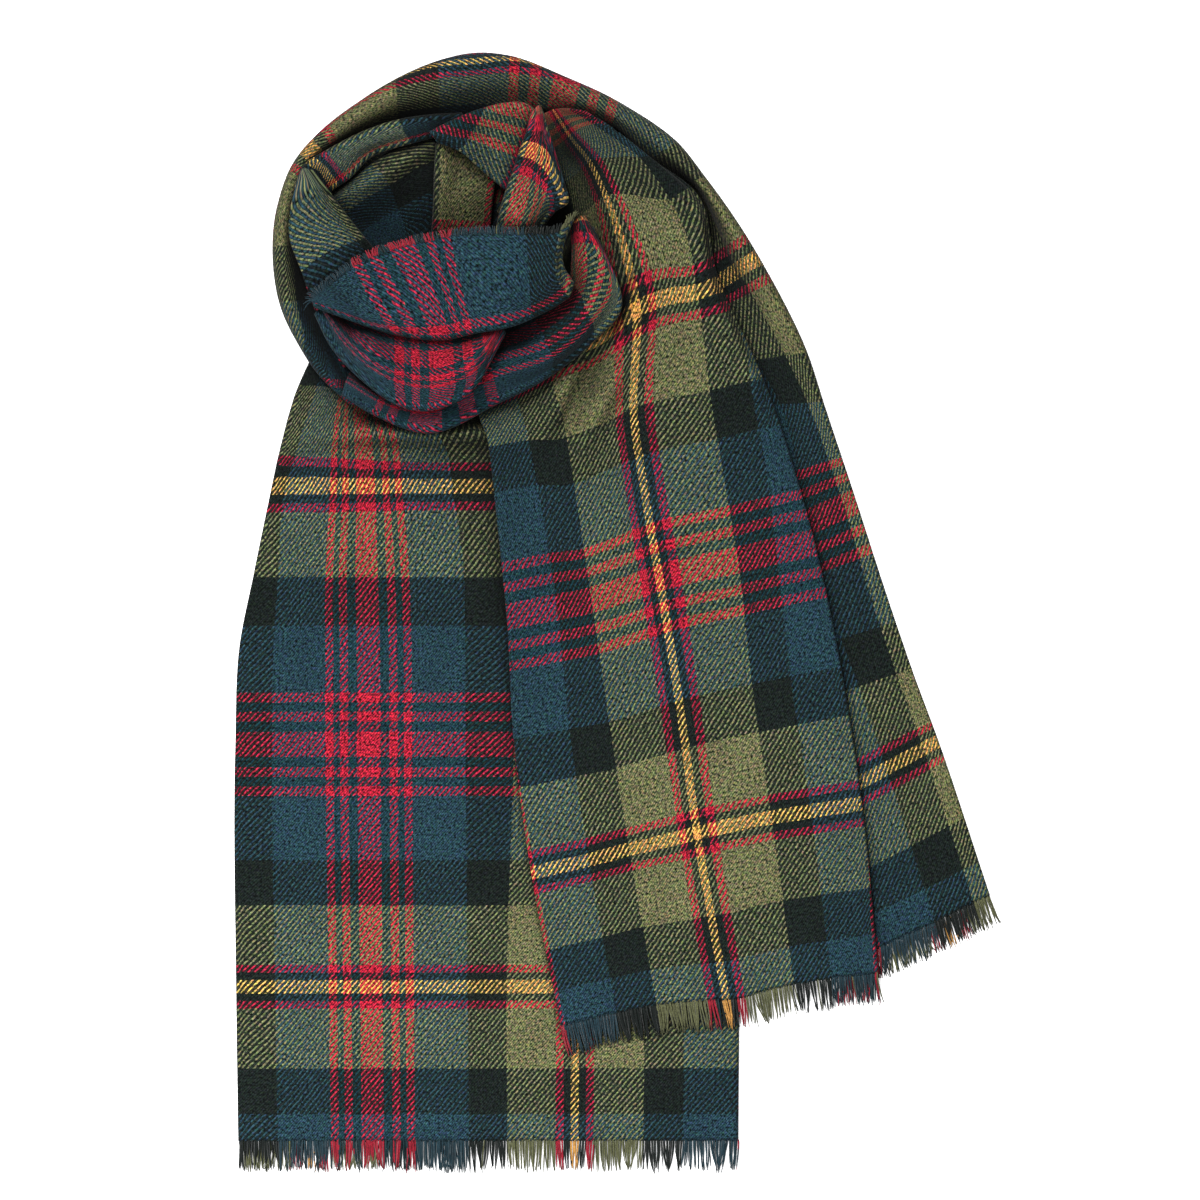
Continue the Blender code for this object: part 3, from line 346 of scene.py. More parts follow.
def curve(knots, places, at):
    """Cubic curves through the places, whose slope at each is that of the parabola
    through it and its neighbours."""
    gap = np.diff(knots)[:, None]
    chord = np.diff(places, axis=0) / gap
    slope = np.vstack([chord[:1], chord])
    slope[1:-1] = (gap[1:] * chord[:-1] + gap[:-1] * chord[1:]) / (gap[1:] + gap[:-1])
    i = np.clip(np.searchsorted(knots, at, side="right") - 1, 0, len(knots) - 2)
    h = gap[i]
    s = (at - knots[i])[:, None] / h
    return (
        (1 + 2 * s) * (1 - s) ** 2 * places[i]
        + s * (1 - s) ** 2 * h * slope[i]
        + s**2 * (3 - 2 * s) * places[i + 1]
        + s**2 * (s - 1) * h * slope[i + 1]
    )


def surface(net, spacing):
    """The net's surface: curves through its rows, then through its columns, with each
    interval cut in equal parts of about the spacing."""
    grid = net
    for _ in range(2):
        step = steps(grid, 0, 3).mean(axis=1)
        knots = np.concatenate([[0], np.cumsum(step)])
        parts = np.maximum(1, np.rint(step / spacing).astype(int))
        at = np.concatenate(
            [np.arange(n) / n * s + k for n, s, k in zip(parts, step, knots)] + [knots[-1:]]
        )
        flat = curve(knots, grid.reshape(len(grid), -1), at)
        grid = flat.reshape(len(at), *grid.shape[1:]).swapaxes(0, 1)
    return grid


def turned(grid, drop, run, thick, reach=None, spacing=4.0):
    """The grid with its first column turned under: half an ellipse, reach wide and
    drop high, then a run back beneath. The pattern goes on round the turn."""
    zero = np.zeros(len(grid))
    drop, run, reach = drop + zero, run + zero, (drop / 2 if reach is None else reach) + zero
    inward = grid[:, 1, :2] - grid[:, 0, :2]
    inward /= np.linalg.norm(inward, axis=1)[:, None]
    away = np.concatenate([zero[:, None], np.cumsum(steps(grid, 1), axis=1)], axis=1)
    shift = (reach + thick / 2)[:, None]
    fade = np.clip(1 - away / np.minimum(3 * shift, away[:, -1:]), 0, 1)
    grid = grid.copy()
    grid[..., :2] += inward[:, None] * (shift * fade)[..., None]
    first = grid[:, 1, 3:] - grid[:, 0, 3:]
    weave = first / np.maximum(np.linalg.norm(first, axis=1), 1e-6)[:, None]
    girth = np.pi * np.sqrt((reach**2 + (drop / 2) ** 2) / 2)
    extra = [
        (-reach * np.cos(a), drop / 2 * (np.sin(a) - 1), girth * (0.5 - a / np.pi))
        for a in np.radians(np.linspace(90, -90, 9)[1:])
    ]
    parts = max(1, int(np.rint(run.max() / spacing)))
    extra += [(run * p, -drop, girth + run * p) for p in np.arange(1, parts + 1) / parts]
    ahead, up, gone = np.array(extra[::-1]).transpose(1, 2, 0)[..., None]
    moved = np.concatenate([inward[:, None] * ahead, up, -weave[:, None] * gone], axis=2)
    return np.concatenate([grid[:, :1] + moved, grid], axis=1), len(extra)


def flipped(grid):
    return grid[:, ::-1]


def crosswise(grid):
    return grid.swapaxes(0, 1)


def turned_last(grid, *how, **more):
    """The grid with its last column turned under."""
    grid, firm = turned(flipped(grid), *how, **more)
    return flipped(grid), firm


def swelled(grid, swells):
    """Each swell adds its height times exp(-(a/length)^2 - (b/width)^2), with a and b
    the distances along it and across it."""
    grid = grid.copy()
    for x, y, length, width, direction, height in swells:
        a, b = seen_along(grid, (x, y), direction)
        grid[..., 2] += height * np.exp(-((a / length) ** 2) - (b / width) ** 2)
    return grid


def parted(grid, count):
    """Straight parts between the rows, count to each interval."""
    at = np.arange((len(grid) - 1) * count + 1) / count
    low = np.minimum(at.astype(int), len(grid) - 2)
    share = (at - low)[:, None, None]
    return grid[low] * (1 - share) + grid[low + 1] * share


def normals(grid):
    n = np.cross(np.gradient(grid[..., :3], axis=0), np.gradient(grid[..., :3], axis=1))
    return n / np.maximum(np.linalg.norm(n, axis=-1, keepdims=True), 1e-9)


def corners(values):
    """The values at the four corners of each cell of a grid, going round."""
    first, second = values[:-1], values[1:]
    return np.stack([first[:, :-1], first[:, 1:], second[:, 1:], second[:, :-1]], axis=2)


def cells(points):
    """The map's cells that the points lie in."""
    at = np.floor((points[..., :2] - MAP_FROM) / CELL).astype(int)
    return np.clip(at[..., 0], 1, MAP_CELLS[0] - 2), np.clip(at[..., 1], 1, MAP_CELLS[1] - 2)


def densely(grid, thick):
    """Many points of the surface, the parts used, and half its thickness upright."""
    n, m = (max(1, int(np.ceil(steps(grid, axis).max() / CLOSE))) for axis in (0, 1))
    dense = crosswise(parted(crosswise(parted(grid, n)), m))
    lean = np.abs(normals(dense)[..., 2])
    return dense, n, m, thick / 2 * np.minimum(1 / np.maximum(lean, 1e-3), MOST_UPRIGHT)


def remembered(grid, thick):
    """Notes the surface's heights in the map."""
    dense, _, _, half = densely(grid, thick)
    np.maximum.at(tops, cells(dense), dense[..., 2] + half)


def widened(values, times):
    """The greatest of each value and its neighbours, then their mean, so that a rise
    stays at least as high as it has to be and turns smooth."""
    for act in (np.max, np.mean):
        for _ in range(times):
            padded, (n, m) = np.pad(values, 1, mode="edge"), values.shape
            near = [padded[i : i + n, j : j + m] for i in range(3) for j in range(3)]
            values = act(near, axis=0)
    return values


def laid(grid, apart, thick, first, firm_last):
    """The grid raised where it would meet what is already laid. The columns before the
    first free one and after the last rise together, and the rise falls off gently."""
    near = [np.roll(tops, (x, y), (0, 1)) for x in (-1, 0, 1) for y in (-1, 0, 1)]
    wide = np.max(near, axis=0)
    dense, n, m, half = densely(grid, thick)
    need = wide[cells(dense)] + apart + half - dense[..., 2]
    rows, columns = grid.shape[:2]
    at_row, at_column = np.arange(rows) * n, np.arange(columns) * m
    lift = np.zeros((rows, columns))
    for r in range(-n, n + 1):
        for c in range(-m, m + 1):
            i = np.clip(at_row + r, 0, len(need) - 1)
            j = np.clip(at_column + c, 0, need.shape[1] - 1)
            lift = np.maximum(lift, need[np.ix_(i, j)])
    lift[lift < LEAST_LIFT] = 0
    last = columns - 1 - firm_last
    lift[:, : first + 1] = lift[:, : first + 1].max(axis=1, keepdims=True)
    lift[:, last:] = lift[:, last:].max(axis=1, keepdims=True)
    across = lift.T[first : last + 1], steps(grid, 1).T[first:last]
    for lines, gaps in (across, (lift, steps(grid, 0))):
        for line, gap in ((lines, gaps), (lines[::-1], gaps[::-1])):
            for k in range(1, len(line)):
                line[k] = np.maximum(line[k], line[k - 1] - STEEPEST * gap[k - 1])
    lift[:, first : last + 1] = widened(lift[:, first : last + 1], 3)
    lift[:, :first] = lift[:, first : first + 1]
    lift[:, last + 1 :] = lift[:, last : last + 1]
    grid = grid.copy()
    grid[..., 2] += lift
    return grid


def outer_loop_net():
    """From the inner edge, hidden or rolled, over the band to its outer fold. The last
    three values are the turn's drop and reach, and the length turned under."""
    table = np.array(OUTER_LOOP)
    along, x, y, z, inner_u, fold_x, fold_y, fold_u = table.T[:8]
    top, reach, under, hidden, run, rolled = table.T[8:]
    near, far = np.column_stack([x, y]), np.column_stack([fold_x, fold_y])
    over = (far - near) / np.linalg.norm(far - near, axis=1)[:, None]
    end = near - over * (hidden * (1 - rolled) - 2 * rolled)[:, None]
    side = near - over * (hidden * 0.5 * (1 - rolled))[:, None]
    inner = near + over * (2.6 * rolled)[:, None]
    columns = [
        (end, z - 7 * rolled, inner_u - hidden - 4),
        (side, z - 3.2 * rolled, inner_u - hidden / 2 - 2),
    ]
    for share, rise in ((0, 0), (1 / 3, 0.45), (2 / 3, 0.85), (1, 1)):
        place, across = inner + (far - inner) * share, inner_u + (fold_u - inner_u) * share
        columns.append((place, z + (top - z) * rise, across))
    extra = along, top - under, reach, run
    return np.stack([np.column_stack([*column, *extra]) for column in columns], axis=1)


# --- meshes


def add_object(name, data, place=(0, 0, 0)):
    thing = bpy.data.objects.new(name, data)
    thing.location = place
    bpy.context.scene.collection.objects.link(thing)
    return thing


def add_mesh(name, points, quads, uv, material, triangles=()):
    """An object at the origin from whole arrays. uv has one pair for each point, or one
    for each corner of the faces where the pattern has a seam."""
    mesh = bpy.data.meshes.new(name)
    triangles = np.array(triangles, int)
    mesh.from_pydata(points, [], [*quads.tolist(), *triangles.tolist()], shade_flat=False)
    corners = np.concatenate([quads.ravel(), triangles.ravel()])
    uv = uv if len(uv) == len(corners) else uv[corners]
    layer = mesh.uv_layers.new(name="weave")
    layer.data.foreach_set("uv", uv.astype(np.float32).ravel())
    mesh.materials.append(material)
    return add_object(name, mesh)


def dress(piece, node):
    """The piece rides on the body and stands for the node, whose part is hidden."""
    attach(piece, "root")
    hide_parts(node)


def add_cloth(name, node, grid):
    """The grid as cloth: its surface, with the wall grown half to each side. Its heights
    are noted, for what is laid on it."""
    rows, columns = grid.shape[:2]
    places = (grid[..., :3] - (*CENTRE, 0)).reshape(-1, 3) * MM
    faces = corners(np.arange(rows * columns).reshape(rows, columns)).reshape(-1, 4)
    if normals(grid)[..., 2].sum() > 0:
        faces = faces[:, ::-1]
    thing = add_mesh(name, places, faces, grid[..., 3:5].reshape(-1, 2) * MM, twill())
    wall = thing.modifiers.new("wall", "SOLIDIFY")
    wall.thickness, wall.offset = bpy.context.scene.scarf_cloth.thickness, 0
    dress(thing, node)
    remembered(grid, wall.thickness / MM)
    made[name] = grid
    return thing


# --- materials


def add_node(tree, kind, *inputs, **named):
    """Adds a node: its kind, with its operation after a space. Inputs are values or
    links in their order, or named with a capital or _ and a number, and other names are
    the node's settings. A node given as an input stands for its first output in use."""
    kind, _, operation = kind.partition(" ")
    node = tree.nodes.new("ShaderNode" + kind)
    if operation:
        node.operation = operation
    for key, given in [*enumerate(inputs), *named.items()]:
        if isinstance(key, str):
            if key[0].islower():
                setattr(node, key, given)
                continue
            key = int(key[1:]) if key[0] == "_" else key.replace("_", " ")
        if isinstance(given, bpy.types.Node):
            given = next(output for output in given.outputs if output.enabled)
        if isinstance(given, bpy.types.NodeSocket):
            tree.links.new(given, node.inputs[key])
        else:
            node.inputs[key].default_value = given
    return node


def empty_tree(owner):
    owner.use_nodes = True
    owner.node_tree.nodes.clear()
    return owner.node_tree


# Half repeats of the pattern, which turns back on itself: (end in mm, colour).
WARP_BANDS = (
    (7.5, "red"), (13.5, "teal"), (19.0, "red"), (23.4, "teal"), (28.9, "red"),
    (66.3, "blue"), (93.5, "black"), (127.8, "olive"), (133.1, "red"), (138.0, "black"),
    (141.3, "yellow"),
)
WEFT_BANDS = (
    (4.2, "yellow"), (9.45, "black"), (15.05, "red"), (57.0, "olive"), (89.6, "black"),
    (135.0, "blue"), (141.7, "red"), (148.0, "teal"), (154.7, "red"), (162.1, "teal"),
    (171.2, "red"),
)
SELVEDGE_WIDTH = 2.6  # its red edge, mm


def bands(add, position, stops):
    """The stops' colours over their length, which the position goes along and back."""
    colours, length = bpy.context.scene.scarf_pattern, stops[-1][0]
    share = add("Math DIVIDE", add("Math PINGPONG", position, length), length)
    node = add("ValToRGB", share)
    ramp = node.color_ramp
    ramp.interpolation = "CONSTANT"
    start = 0.0
    for k, (end, colour) in enumerate(stops):
        stop = ramp.elements.new(start / length) if k else ramp.elements[0]
        stop.position = start / length
        stop.color = getattr(colours, colour)
        start = end
    ramp.elements.remove(ramp.elements[len(ramp.elements) - 1])
    return node


def weave_colours(add):
    """The woven pattern from the cloth's own scale: the warp's bands run along it and
    the weft's across it."""
    mm = add("VectorMath SCALE", add("UVMap", uv_map="weave"), Scale=1 / MM)
    # Hand-like unevenness: threads wander a third of a millimetre over a few.
    wander = add("TexNoise", mm, Scale=0.16, Detail=2.0).outputs["Color"]
    centred = add("VectorMath SUBTRACT", wander, (0.5, 0.5, 0.5))
    drift = add("VectorMath SCALE", centred, Scale=1.6)
    u, v, _ = add("SeparateXYZ", add("VectorMath ADD", mm, drift)).outputs
    warp = bands(add, add("Math ABSOLUTE", u), WARP_BANDS)
    weft = bands(add, v, WEFT_BANDS)
    edge = add("Math LESS_THAN", u, SELVEDGE_WIDTH - HALF_WIDTH)
    red = bpy.context.scene.scarf_pattern.red
    return mm, u, v, add("Mix", edge, data_type="RGBA", _6=warp, _7=red), weft


def twill():
    """Brushed two-and-two twill in a wool blend: matt, with raised slanting wales and a
    short nap that softens the colours' edges and catches light at the rims."""
    name = "brushed wool-blend twill"
    if name in bpy.data.materials:
        return bpy.data.materials[name]
    pattern = bpy.context.scene.scarf_pattern
    material = bpy.data.materials.new(name)
    add = partial(add_node, empty_tree(material))
    mm, u, v, warp, weft = weave_colours(add)
    # Four ends and four picks to a wale, so the wales slant at about 50 degrees. The
    # real yarns are finer than the picks drawn here, which are as coarse as shows.
    across = add("Math DIVIDE", u, pattern.wale_across / MM)
    along = add("Math DIVIDE", v, pattern.wale_along / MM)
    slant = add("Math MULTIPLY", add("Math SUBTRACT", across, along), 2 * np.pi)
    wave = add("Math COSINE", slant)
    # Dark fibres creep over a paler neighbour, so the paler thread shows a little less.
    contrast = add("VectorMath SUBTRACT", warp, weft)
    contrast = add("VectorMath DOT_PRODUCT", contrast, (1.8, 0.3, 0.1))
    creep = add("Math MINIMUM", add("Math MAXIMUM", contrast, -0.45), 0.45)
    over = add(
        "MapRange", add("Math SUBTRACT", wave, creep), -0.2, 0.2, 0.03, 0.97,
        interpolation_type="SMOOTHSTEP",
    )
    woven = add("Mix", over, data_type="RGBA", _6=weft, _7=warp)
    # A pale thread that crosses a dark one takes on some of its cooler fibres.
    least, most = (
        add("VectorMath DOT_PRODUCT", add("VectorMath " + which, warp, weft), (1, 0, 0))
        for which in ("MINIMUM", "MAXIMUM")
    )
    pale = add("Math MINIMUM", add("Math MULTIPLY", most, 4.6), 1.0)
    crossed = add("Math MULTIPLY", add("Math LESS_THAN", least, 0.04), pale)
    cooler = add("VectorMath MULTIPLY_ADD", crossed, (-0.22, 0.04, 0.14), (1, 1, 1))
    woven = add("VectorMath MULTIPLY", woven, cooler)
    # Painted shade darkens the hollow between two wales and a painted highlight lightens
    # their crowns; the nap is uneven from fibre to fibre, and the brushing from place to place.
    ridge = add("Math ABSOLUTE", wave)
    painted_wale_shade_and_highlight = add("MapRange", ridge, 0.0, 0.85, 0.42, 1.4, interpolation_type="SMOOTHSTEP")
    fibres = add("TexNoise", mm, Scale=0.6, Detail=2.0, Roughness=0.6)
    fleck = add("MapRange", fibres, 0.33, 0.67, -0.02, 2.15)
    wash = add("MapRange", add("TexNoise", mm, Scale=0.03, Detail=2.0), 0.3, 0.7, 0.9, 1.1)
    shade = add("Math MULTIPLY", add("Math MULTIPLY", painted_wale_shade_and_highlight, fleck), wash)
    # Shade inside folds: the share of open room within 70 mm, to a power.
    room = add("AmbientOcclusion", samples=6, Distance=0.07).outputs["AO"]
    shade = add("Math MULTIPLY", shade, add("Math POWER", room, 1.7))
    shaded = add("VectorMath SCALE", woven, Scale=shade)
    tints = add(
        "VectorMath MULTIPLY_ADD", fibres.outputs["Color"], (1.6, 1.6, 1.6), (0.2, 0.2, 0.2)
    )
    coloured = add("VectorMath MULTIPLY", shaded, tints)
    height = add(
        "Math ADD", add("Math MULTIPLY", ridge, 0.6), add("Math MULTIPLY", fibres, 0.7)
    )
    shader = add(
        "BsdfPrincipled", coloured, Roughness=0.92, Specular_IOR_Level=0.1,
        Sheen_Weight=0.04, Sheen_Roughness=0.5,
        Normal=add("Bump", Height=height, Strength=0.55, Distance=0.0006),
    )
    add("OutputMaterial", shader)
    return material


def yarn_ends():
    """Loose two-ply ends of the warp: the same dyed wool blend, fuzzy and matt, with a
    stray end of another colour here and there."""
    material = bpy.data.materials.get("loose wool-blend yarn ends")
    if material:
        return material
    material = bpy.data.materials.new("loose wool-blend yarn ends")
    add = partial(add_node, empty_tree(material))
    mm, _, _, warp, _ = weave_colours(add)
    fibres = add("TexNoise", mm, Scale=1.1, Detail=3.0)
    fleck = add("MapRange", fibres, 0.3, 0.7, 0.6, 1.5)
    shader = add(
        "BsdfPrincipled", add("VectorMath SCALE", warp, Scale=fleck), Roughness=0.9,
        Specular_IOR_Level=0.15, Sheen_Weight=0.1, Sheen_Roughness=0.5,
        Normal=add("Bump", Height=fibres, Strength=0.5, Distance=0.0003),
    )
    add("OutputMaterial", shader)
    return material


# --- settings


def dye(name, description, hex_colour):
    return FloatVectorProperty(
        name=name, description=description, default=linear(hex_colour), size=4,
        min=0, max=1, subtype="COLOR",
    )


def length(name, description, default, least):
    return FloatProperty(
        name=name, description=description, default=default, min=least, unit="LENGTH"
    )


class ScarfPattern(bpy.types.PropertyGroup):
    """The tartan's colours and the twill's wales."""

    red: dye("Red", "Red bands and selvedge", "#801525")
    teal: dye("Teal", "Teal lines between the red bands", "#0a2429")
    blue: dye("Blue", "Denim blue bands", "#162b33")
    black: dye("Black", "Near black bands", "#0c1311")
    olive: dye("Olive", "Olive bands", "#4d4f35")
    yellow: dye("Yellow", "Straw yellow lines", "#a6793c")
    wale_across: length(
        "Wale across", "From wale to wale across the cloth: four ends at 10.8 to the cm",
        0.0037, 0.001,
    )
    wale_along: length(
        "Wale along", "From wale to wale along the cloth: four picks at 9 to the cm", 0.0044, 0.001
    )


class ScarfCloth(bpy.types.PropertyGroup):
    """The cloth's build."""

    thickness: length("Thickness", "Of the cloth with its nap", 0.0018, 0.0005)
    tail_spacing: length("Tail spacing", "Between points of the two tails", 0.0035, 0.001)
    collar_spacing: length(
        "Collar spacing", "Between points of the collar and the knot", 0.0016, 0.001
    )


class ScarfFringe(bpy.types.PropertyGroup):
    """The loose warp ends at the hems."""

    pitch: length("Pitch", "From one loose end to the next: 10.8 to the cm", 0.00093, 0.0003)
    tail_length: length("Tail length", "Of the fringe at the two tails", 0.023, 0.002)
    knot_length: length("Knot length", "Of the frayed edge at the knot", 0.007, 0.002)


class ScarfStage(bpy.types.PropertyGroup):
    """Camera and lights."""

    camera_height: length("Camera height", "Above the floor", 5.0, 1.0)
    view_width: length("View width", "Width that the camera sees", 0.84, 0.1)
    key_power: FloatProperty(
        name="Key light", description="Strength of the soft key light", default=3.8
    )
    fill_power: FloatProperty(
        name="Fill light", description="Power of the soft fill light, W", default=7.8
    )
    sky: FloatProperty(
        name="Room light", description="Strength of the room light overhead", default=0.9
    )


# --- operators


def padding_profile(way):
    """The padding table's columns at each direction, given in radians."""
    table = np.array(PADDING, float)
    turn = np.radians(np.append(table[:, 0], 360))
    return [np.interp(way, turn, np.append(column, column[0])) for column in table.T[1:]]


def padding_piece():
    """The bunched cloth inside the collar, closed all round. Each direction from its
    middle has a section through the table's radii and heights, with its corners cut
    twice at a quarter of their sides. A shallow pleat, the cube of a sine of the
    direction, runs outwards."""
    count = 96
    way = np.arange(count + 1) * 2 * np.pi / count
    floor, full, outer, high, low = padding_profile(way)
    zero = np.zeros(count + 1)
    brim = np.maximum(low, outer + 2)
    base, ledge = zero + PADDING_FLOOR, zero + PADDING_LOW
    places = [
        (zero, base), (floor, base), (full, high), (outer - 3, high), (outer, high - 4),
        (outer + 1, ledge), (brim, ledge), (brim, zero), (zero, zero),
    ]
    section = np.moveaxis(np.array(places), 1, 2)
    for _ in range(2):
        near = section[:-1] * 0.75 + section[1:] * 0.25
        far = section[:-1] * 0.25 + section[1:] * 0.75
        inner = np.stack([near, far], axis=1).reshape(-1, *section.shape[1:])[1:-1]
        section = np.concatenate([section[:1], inner, section[-1:]])
    radius, height = section[1:-1, :, 0], section[1:-1, :, 1]
    pleat = np.abs(np.sin(7 * way)) ** 3
    height = height * (1 - 0.07 * pleat)
    around = np.stack([np.cos(way), np.sin(way)], axis=-1)
    middle = np.array(PADDING_AT) - CENTRE
    rings = np.concatenate([middle + radius[..., None] * around, height[..., None]], axis=-1)
    points = np.concatenate(
        [rings[:, :-1].reshape(-1, 3), [[*middle, PADDING_FLOOR], [*middle, 0]]]
    )
    run = np.concatenate([zero[None], np.cumsum(np.hypot(*np.diff(section, axis=0).T).T, 0)])
    weave = np.stack([45 + 0.75 * run[1:-1], 112 + 60 * np.tile(way, (len(radius), 1))], -1)
    index = np.arange(len(radius))[:, None] * count + np.arange(count + 1) % count
    quads, quad_uv = (corners(values)[:, :, [0, 3, 2, 1]] for values in (index, weave))
    # The top and the underside are fans of triangles round a point in the middle.
    top, lid, base = np.full(count, len(points) - 2), index[0], index[-1]
    fans = np.vstack([
        np.column_stack([top, lid[:-1], lid[1:]]), np.column_stack([top + 1, base[1:], base[:-1]])
    ])
    lid, base = weave[0], weave[-1]
    fan_uv = [
        np.stack([lid[:-1], lid[:-1], lid[1:]], axis=1),
        np.stack([base[:-1], base[1:], base[:-1]], axis=1),
    ]
    uv = np.concatenate([values.reshape(-1, 2) for values in (quad_uv, *fan_uv)])
    piece = add_mesh(
        "collar_padding", points * MM, quads.reshape(-1, 4), uv * MM, twill(), fans
    )
    dress(piece, "core")


class SCARF_OT_padding(bpy.types.Operator):
    """Finishes the padding inside the collar and notes its heights"""

    bl_idname = "scarf.padding"
    bl_label = "Padding"

    def execute(self, context):
        padding_piece()
        # Height rises in a straight line from the floor's radius to the full one.
        x, y = (
            MAP_FROM[k] + (np.indices(MAP_CELLS)[k] + 0.5) * CELL - PADDING_AT[k] for k in (0, 1)
        )
        far = np.hypot(x, y)
        floor, full, outer, high, low = padding_profile(np.arctan2(y, x) % (2 * np.pi))
        share = np.clip((far - floor) / (full - floor), 0, 1)
        rise = PADDING_FLOOR + (high - PADDING_FLOOR) * share
        height = np.where(far < outer + 1, rise, PADDING_LOW)
        np.maximum(tops, np.where(far < low + 1, height, 0), out=tops)
        return {"FINISHED"}


def tail_surface(rows, along, across, run, spacing):
    """A tail's surface, whose last value is the length that is turned under."""
    net = cloth_net(rows, along, across)
    run = np.repeat(np.array(run, float)[:, None, None], net.shape[1], 1)
    return surface(np.concatenate([net, run], axis=2), spacing)


class SCARF_OT_tails(bpy.types.Operator):
    """Lays the left tail, the outer loop with the right tail's back, and its front"""

    bl_idname = "scarf.tails"
    bl_label = "Tails and outer loop"

    def execute(self, context):
        cloth = context.scene.scarf_cloth
        thick, spacing = cloth.thickness / MM, cloth.tail_spacing / MM

        net = tail_surface(LEFT_TAIL, LEFT_TAIL_ALONG, LEFT_TAIL_ACROSS, LEFT_TAIL_RUN, spacing)
        grid, _ = turned(net[..., :5], net[:, 0, 2] - 1.0, net[:, 0, 5], thick, spacing=12)
        left = add_cloth("left_tail_cloth", "tail_left", grid)

        net = surface(outer_loop_net(), spacing)
        drop, reach, run = net[:, -1, 5:].T
        grid, _ = turned_last(net[..., :5], drop, run, thick, reach, spacing=12)
        loop = add_cloth("outer_loop_cloth", "loop_outer", grid)

        net = tail_surface(RIGHT_TAIL, RIGHT_TAIL_ALONG, RIGHT_TAIL_ACROSS, RIGHT_TAIL_RUN, spacing)
        net[..., :3] = swelled(net[..., :3], TAIL_SWELLS)
        grid, firm = turned_last(net[..., :5], 2.7, net[:, -1, 5], thick, spacing=9)
        grid = laid(grid, 0.3, thick, 0, firm)
        right = add_cloth("right_tail_cloth", "tail_right_front", grid)
        return {"FINISHED"}


def lay_stretch(node, rows, along, across, flat, rests_on, apart, **rolls):
    """Makes one stretch of the collar: its surface, the drop and run of its rolled first
    or last column or last row, and its rest on what lies beneath, apart by the gap in mm
    or pressed into it."""
    cloth = bpy.context.scene.scarf_cloth
    thick = cloth.thickness / MM
    grid = surface(cloth_net(rows, along, across), cloth.collar_spacing / MM)
    firm = [0, 0]
    if "bottom" in rolls:
        grid = crosswise(turned_last(crosswise(grid), *rolls["bottom"], thick)[0])
    if "first" in rolls:
        grid, firm[0] = turned(grid, *rolls["first"], thick)
    if "last" in rolls:
        grid, firm[1] = turned_last(grid, *rolls["last"], thick)
    thing = add_cloth(node + "_cloth", node, laid(grid, apart, thick, *firm))


class SCARF_OT_collar(bpy.types.Operator):
    """Lays the turns round the neck opening"""

    bl_idname = "scarf.collar"
    bl_label = "Collar"

    def execute(self, context):
        lay_stretch(
            "neck_slope", NECK_SLOPE, (140, 125, 105, 86, 72, 62), (120, 108, 90, 70, 50, 30),
            (0.09, 0.078), ["core"], -0.85,
        )
        lay_stretch(
            "second_wrap", SECOND_WRAP, (-25, -6, 18, 34, 57, 75, 90), (64, 48, 24),
            (0.05, 0.14), ["neck_slope_cloth", "outer_loop_cloth"], -1.8, first=(8, 3), last=(6, 2),
        )
        lay_stretch(
            "olive_panel", OLIVE_PANEL, (56, 38, 20, 5, -6), (95, 112, 133),
            (0.06, 0.09), ["neck_slope_cloth", "core"], -0.85, first=(9, 3),
        )
        across = ((-250, -235, -212),) * 4 + ((-252.5, -235, -212),) * 3
        lay_stretch(
            "left_flap", LEFT_FLAP, (16, 18, 34, 57, 75, 97, 120), across,
            (0.05, 0.15), ["second_wrap_cloth", "core"], -0.2, last=(5, 2),
        )
        # The ridge shows the cloth's other face, woven straight across it.
        across, along = seen_along(RIDGE_WRAP, (-104.7, 332.9), -20)
        lay_stretch(
            "ridge_wrap", RIDGE_WRAP, 204.3 - along, 93.5 + across,
            (0.08, 0.09), ["olive_panel_cloth", "right_tail_cloth"], -0.55,
            first=(10, 4), last=(5, 2),
        )
        across = ((14, -5, -28.9, -42),) + ((8, -5, -28.9, -50),) * 6
        along = (
            (-18, -18, -18, -18), (-10, -10, -10, -14), (1, 0, -1, -8), (14, 14, 11, 0),
            (28, 28, 26, 12), (40, 40, 38, 28), (52, 52, 50, 42),
        )
        lay_stretch(
            "spur_fold", SPUR_FOLD, along, across,
            (0.06, 0.1), ["ridge_wrap_cloth", "right_tail_cloth"], -1.1, first=(8, 3), last=(7, 3),
        )
        return {"FINISHED"}


class SCARF_OT_knot(bpy.types.Operator):
    """Lays the knot's two rolls and its fringed flap"""

    bl_idname = "scarf.knot"
    bl_label = "Knot"

    def execute(self, context):
        lay_stretch(
            "knot_lip", KNOT_LIP, (150, 171, 190, 205, 240),
            (-66, -28.9, 0, 28.9, 66.3, 93.5, 118, 140),
            (0.22, 0.07), ["right_tail_cloth", "outer_loop_cloth"], -0.1, bottom=(10, 4),
        )
        lay_stretch(
            "knot_roll", KNOT_ROLL, (140, 171, 190, 207, 232), (-66, -48, -28.9, 0, 18, 30),
            (0.13, 0.08), ["knot_lip_cloth"], -0.05, bottom=(11, 5),
        )
        lay_stretch(
            "knot_flap", KNOT_FLAP, (93, 110, 125, 141), (-66, -28.9, 0, 28.9, 66.3, 93.5, 98),
            (0.2, 0.08), ["knot_roll_cloth", "knot_lip_cloth"], -1.15, bottom=(8, 3), last=(7, 3),
        )
        return {"FINISHED"}


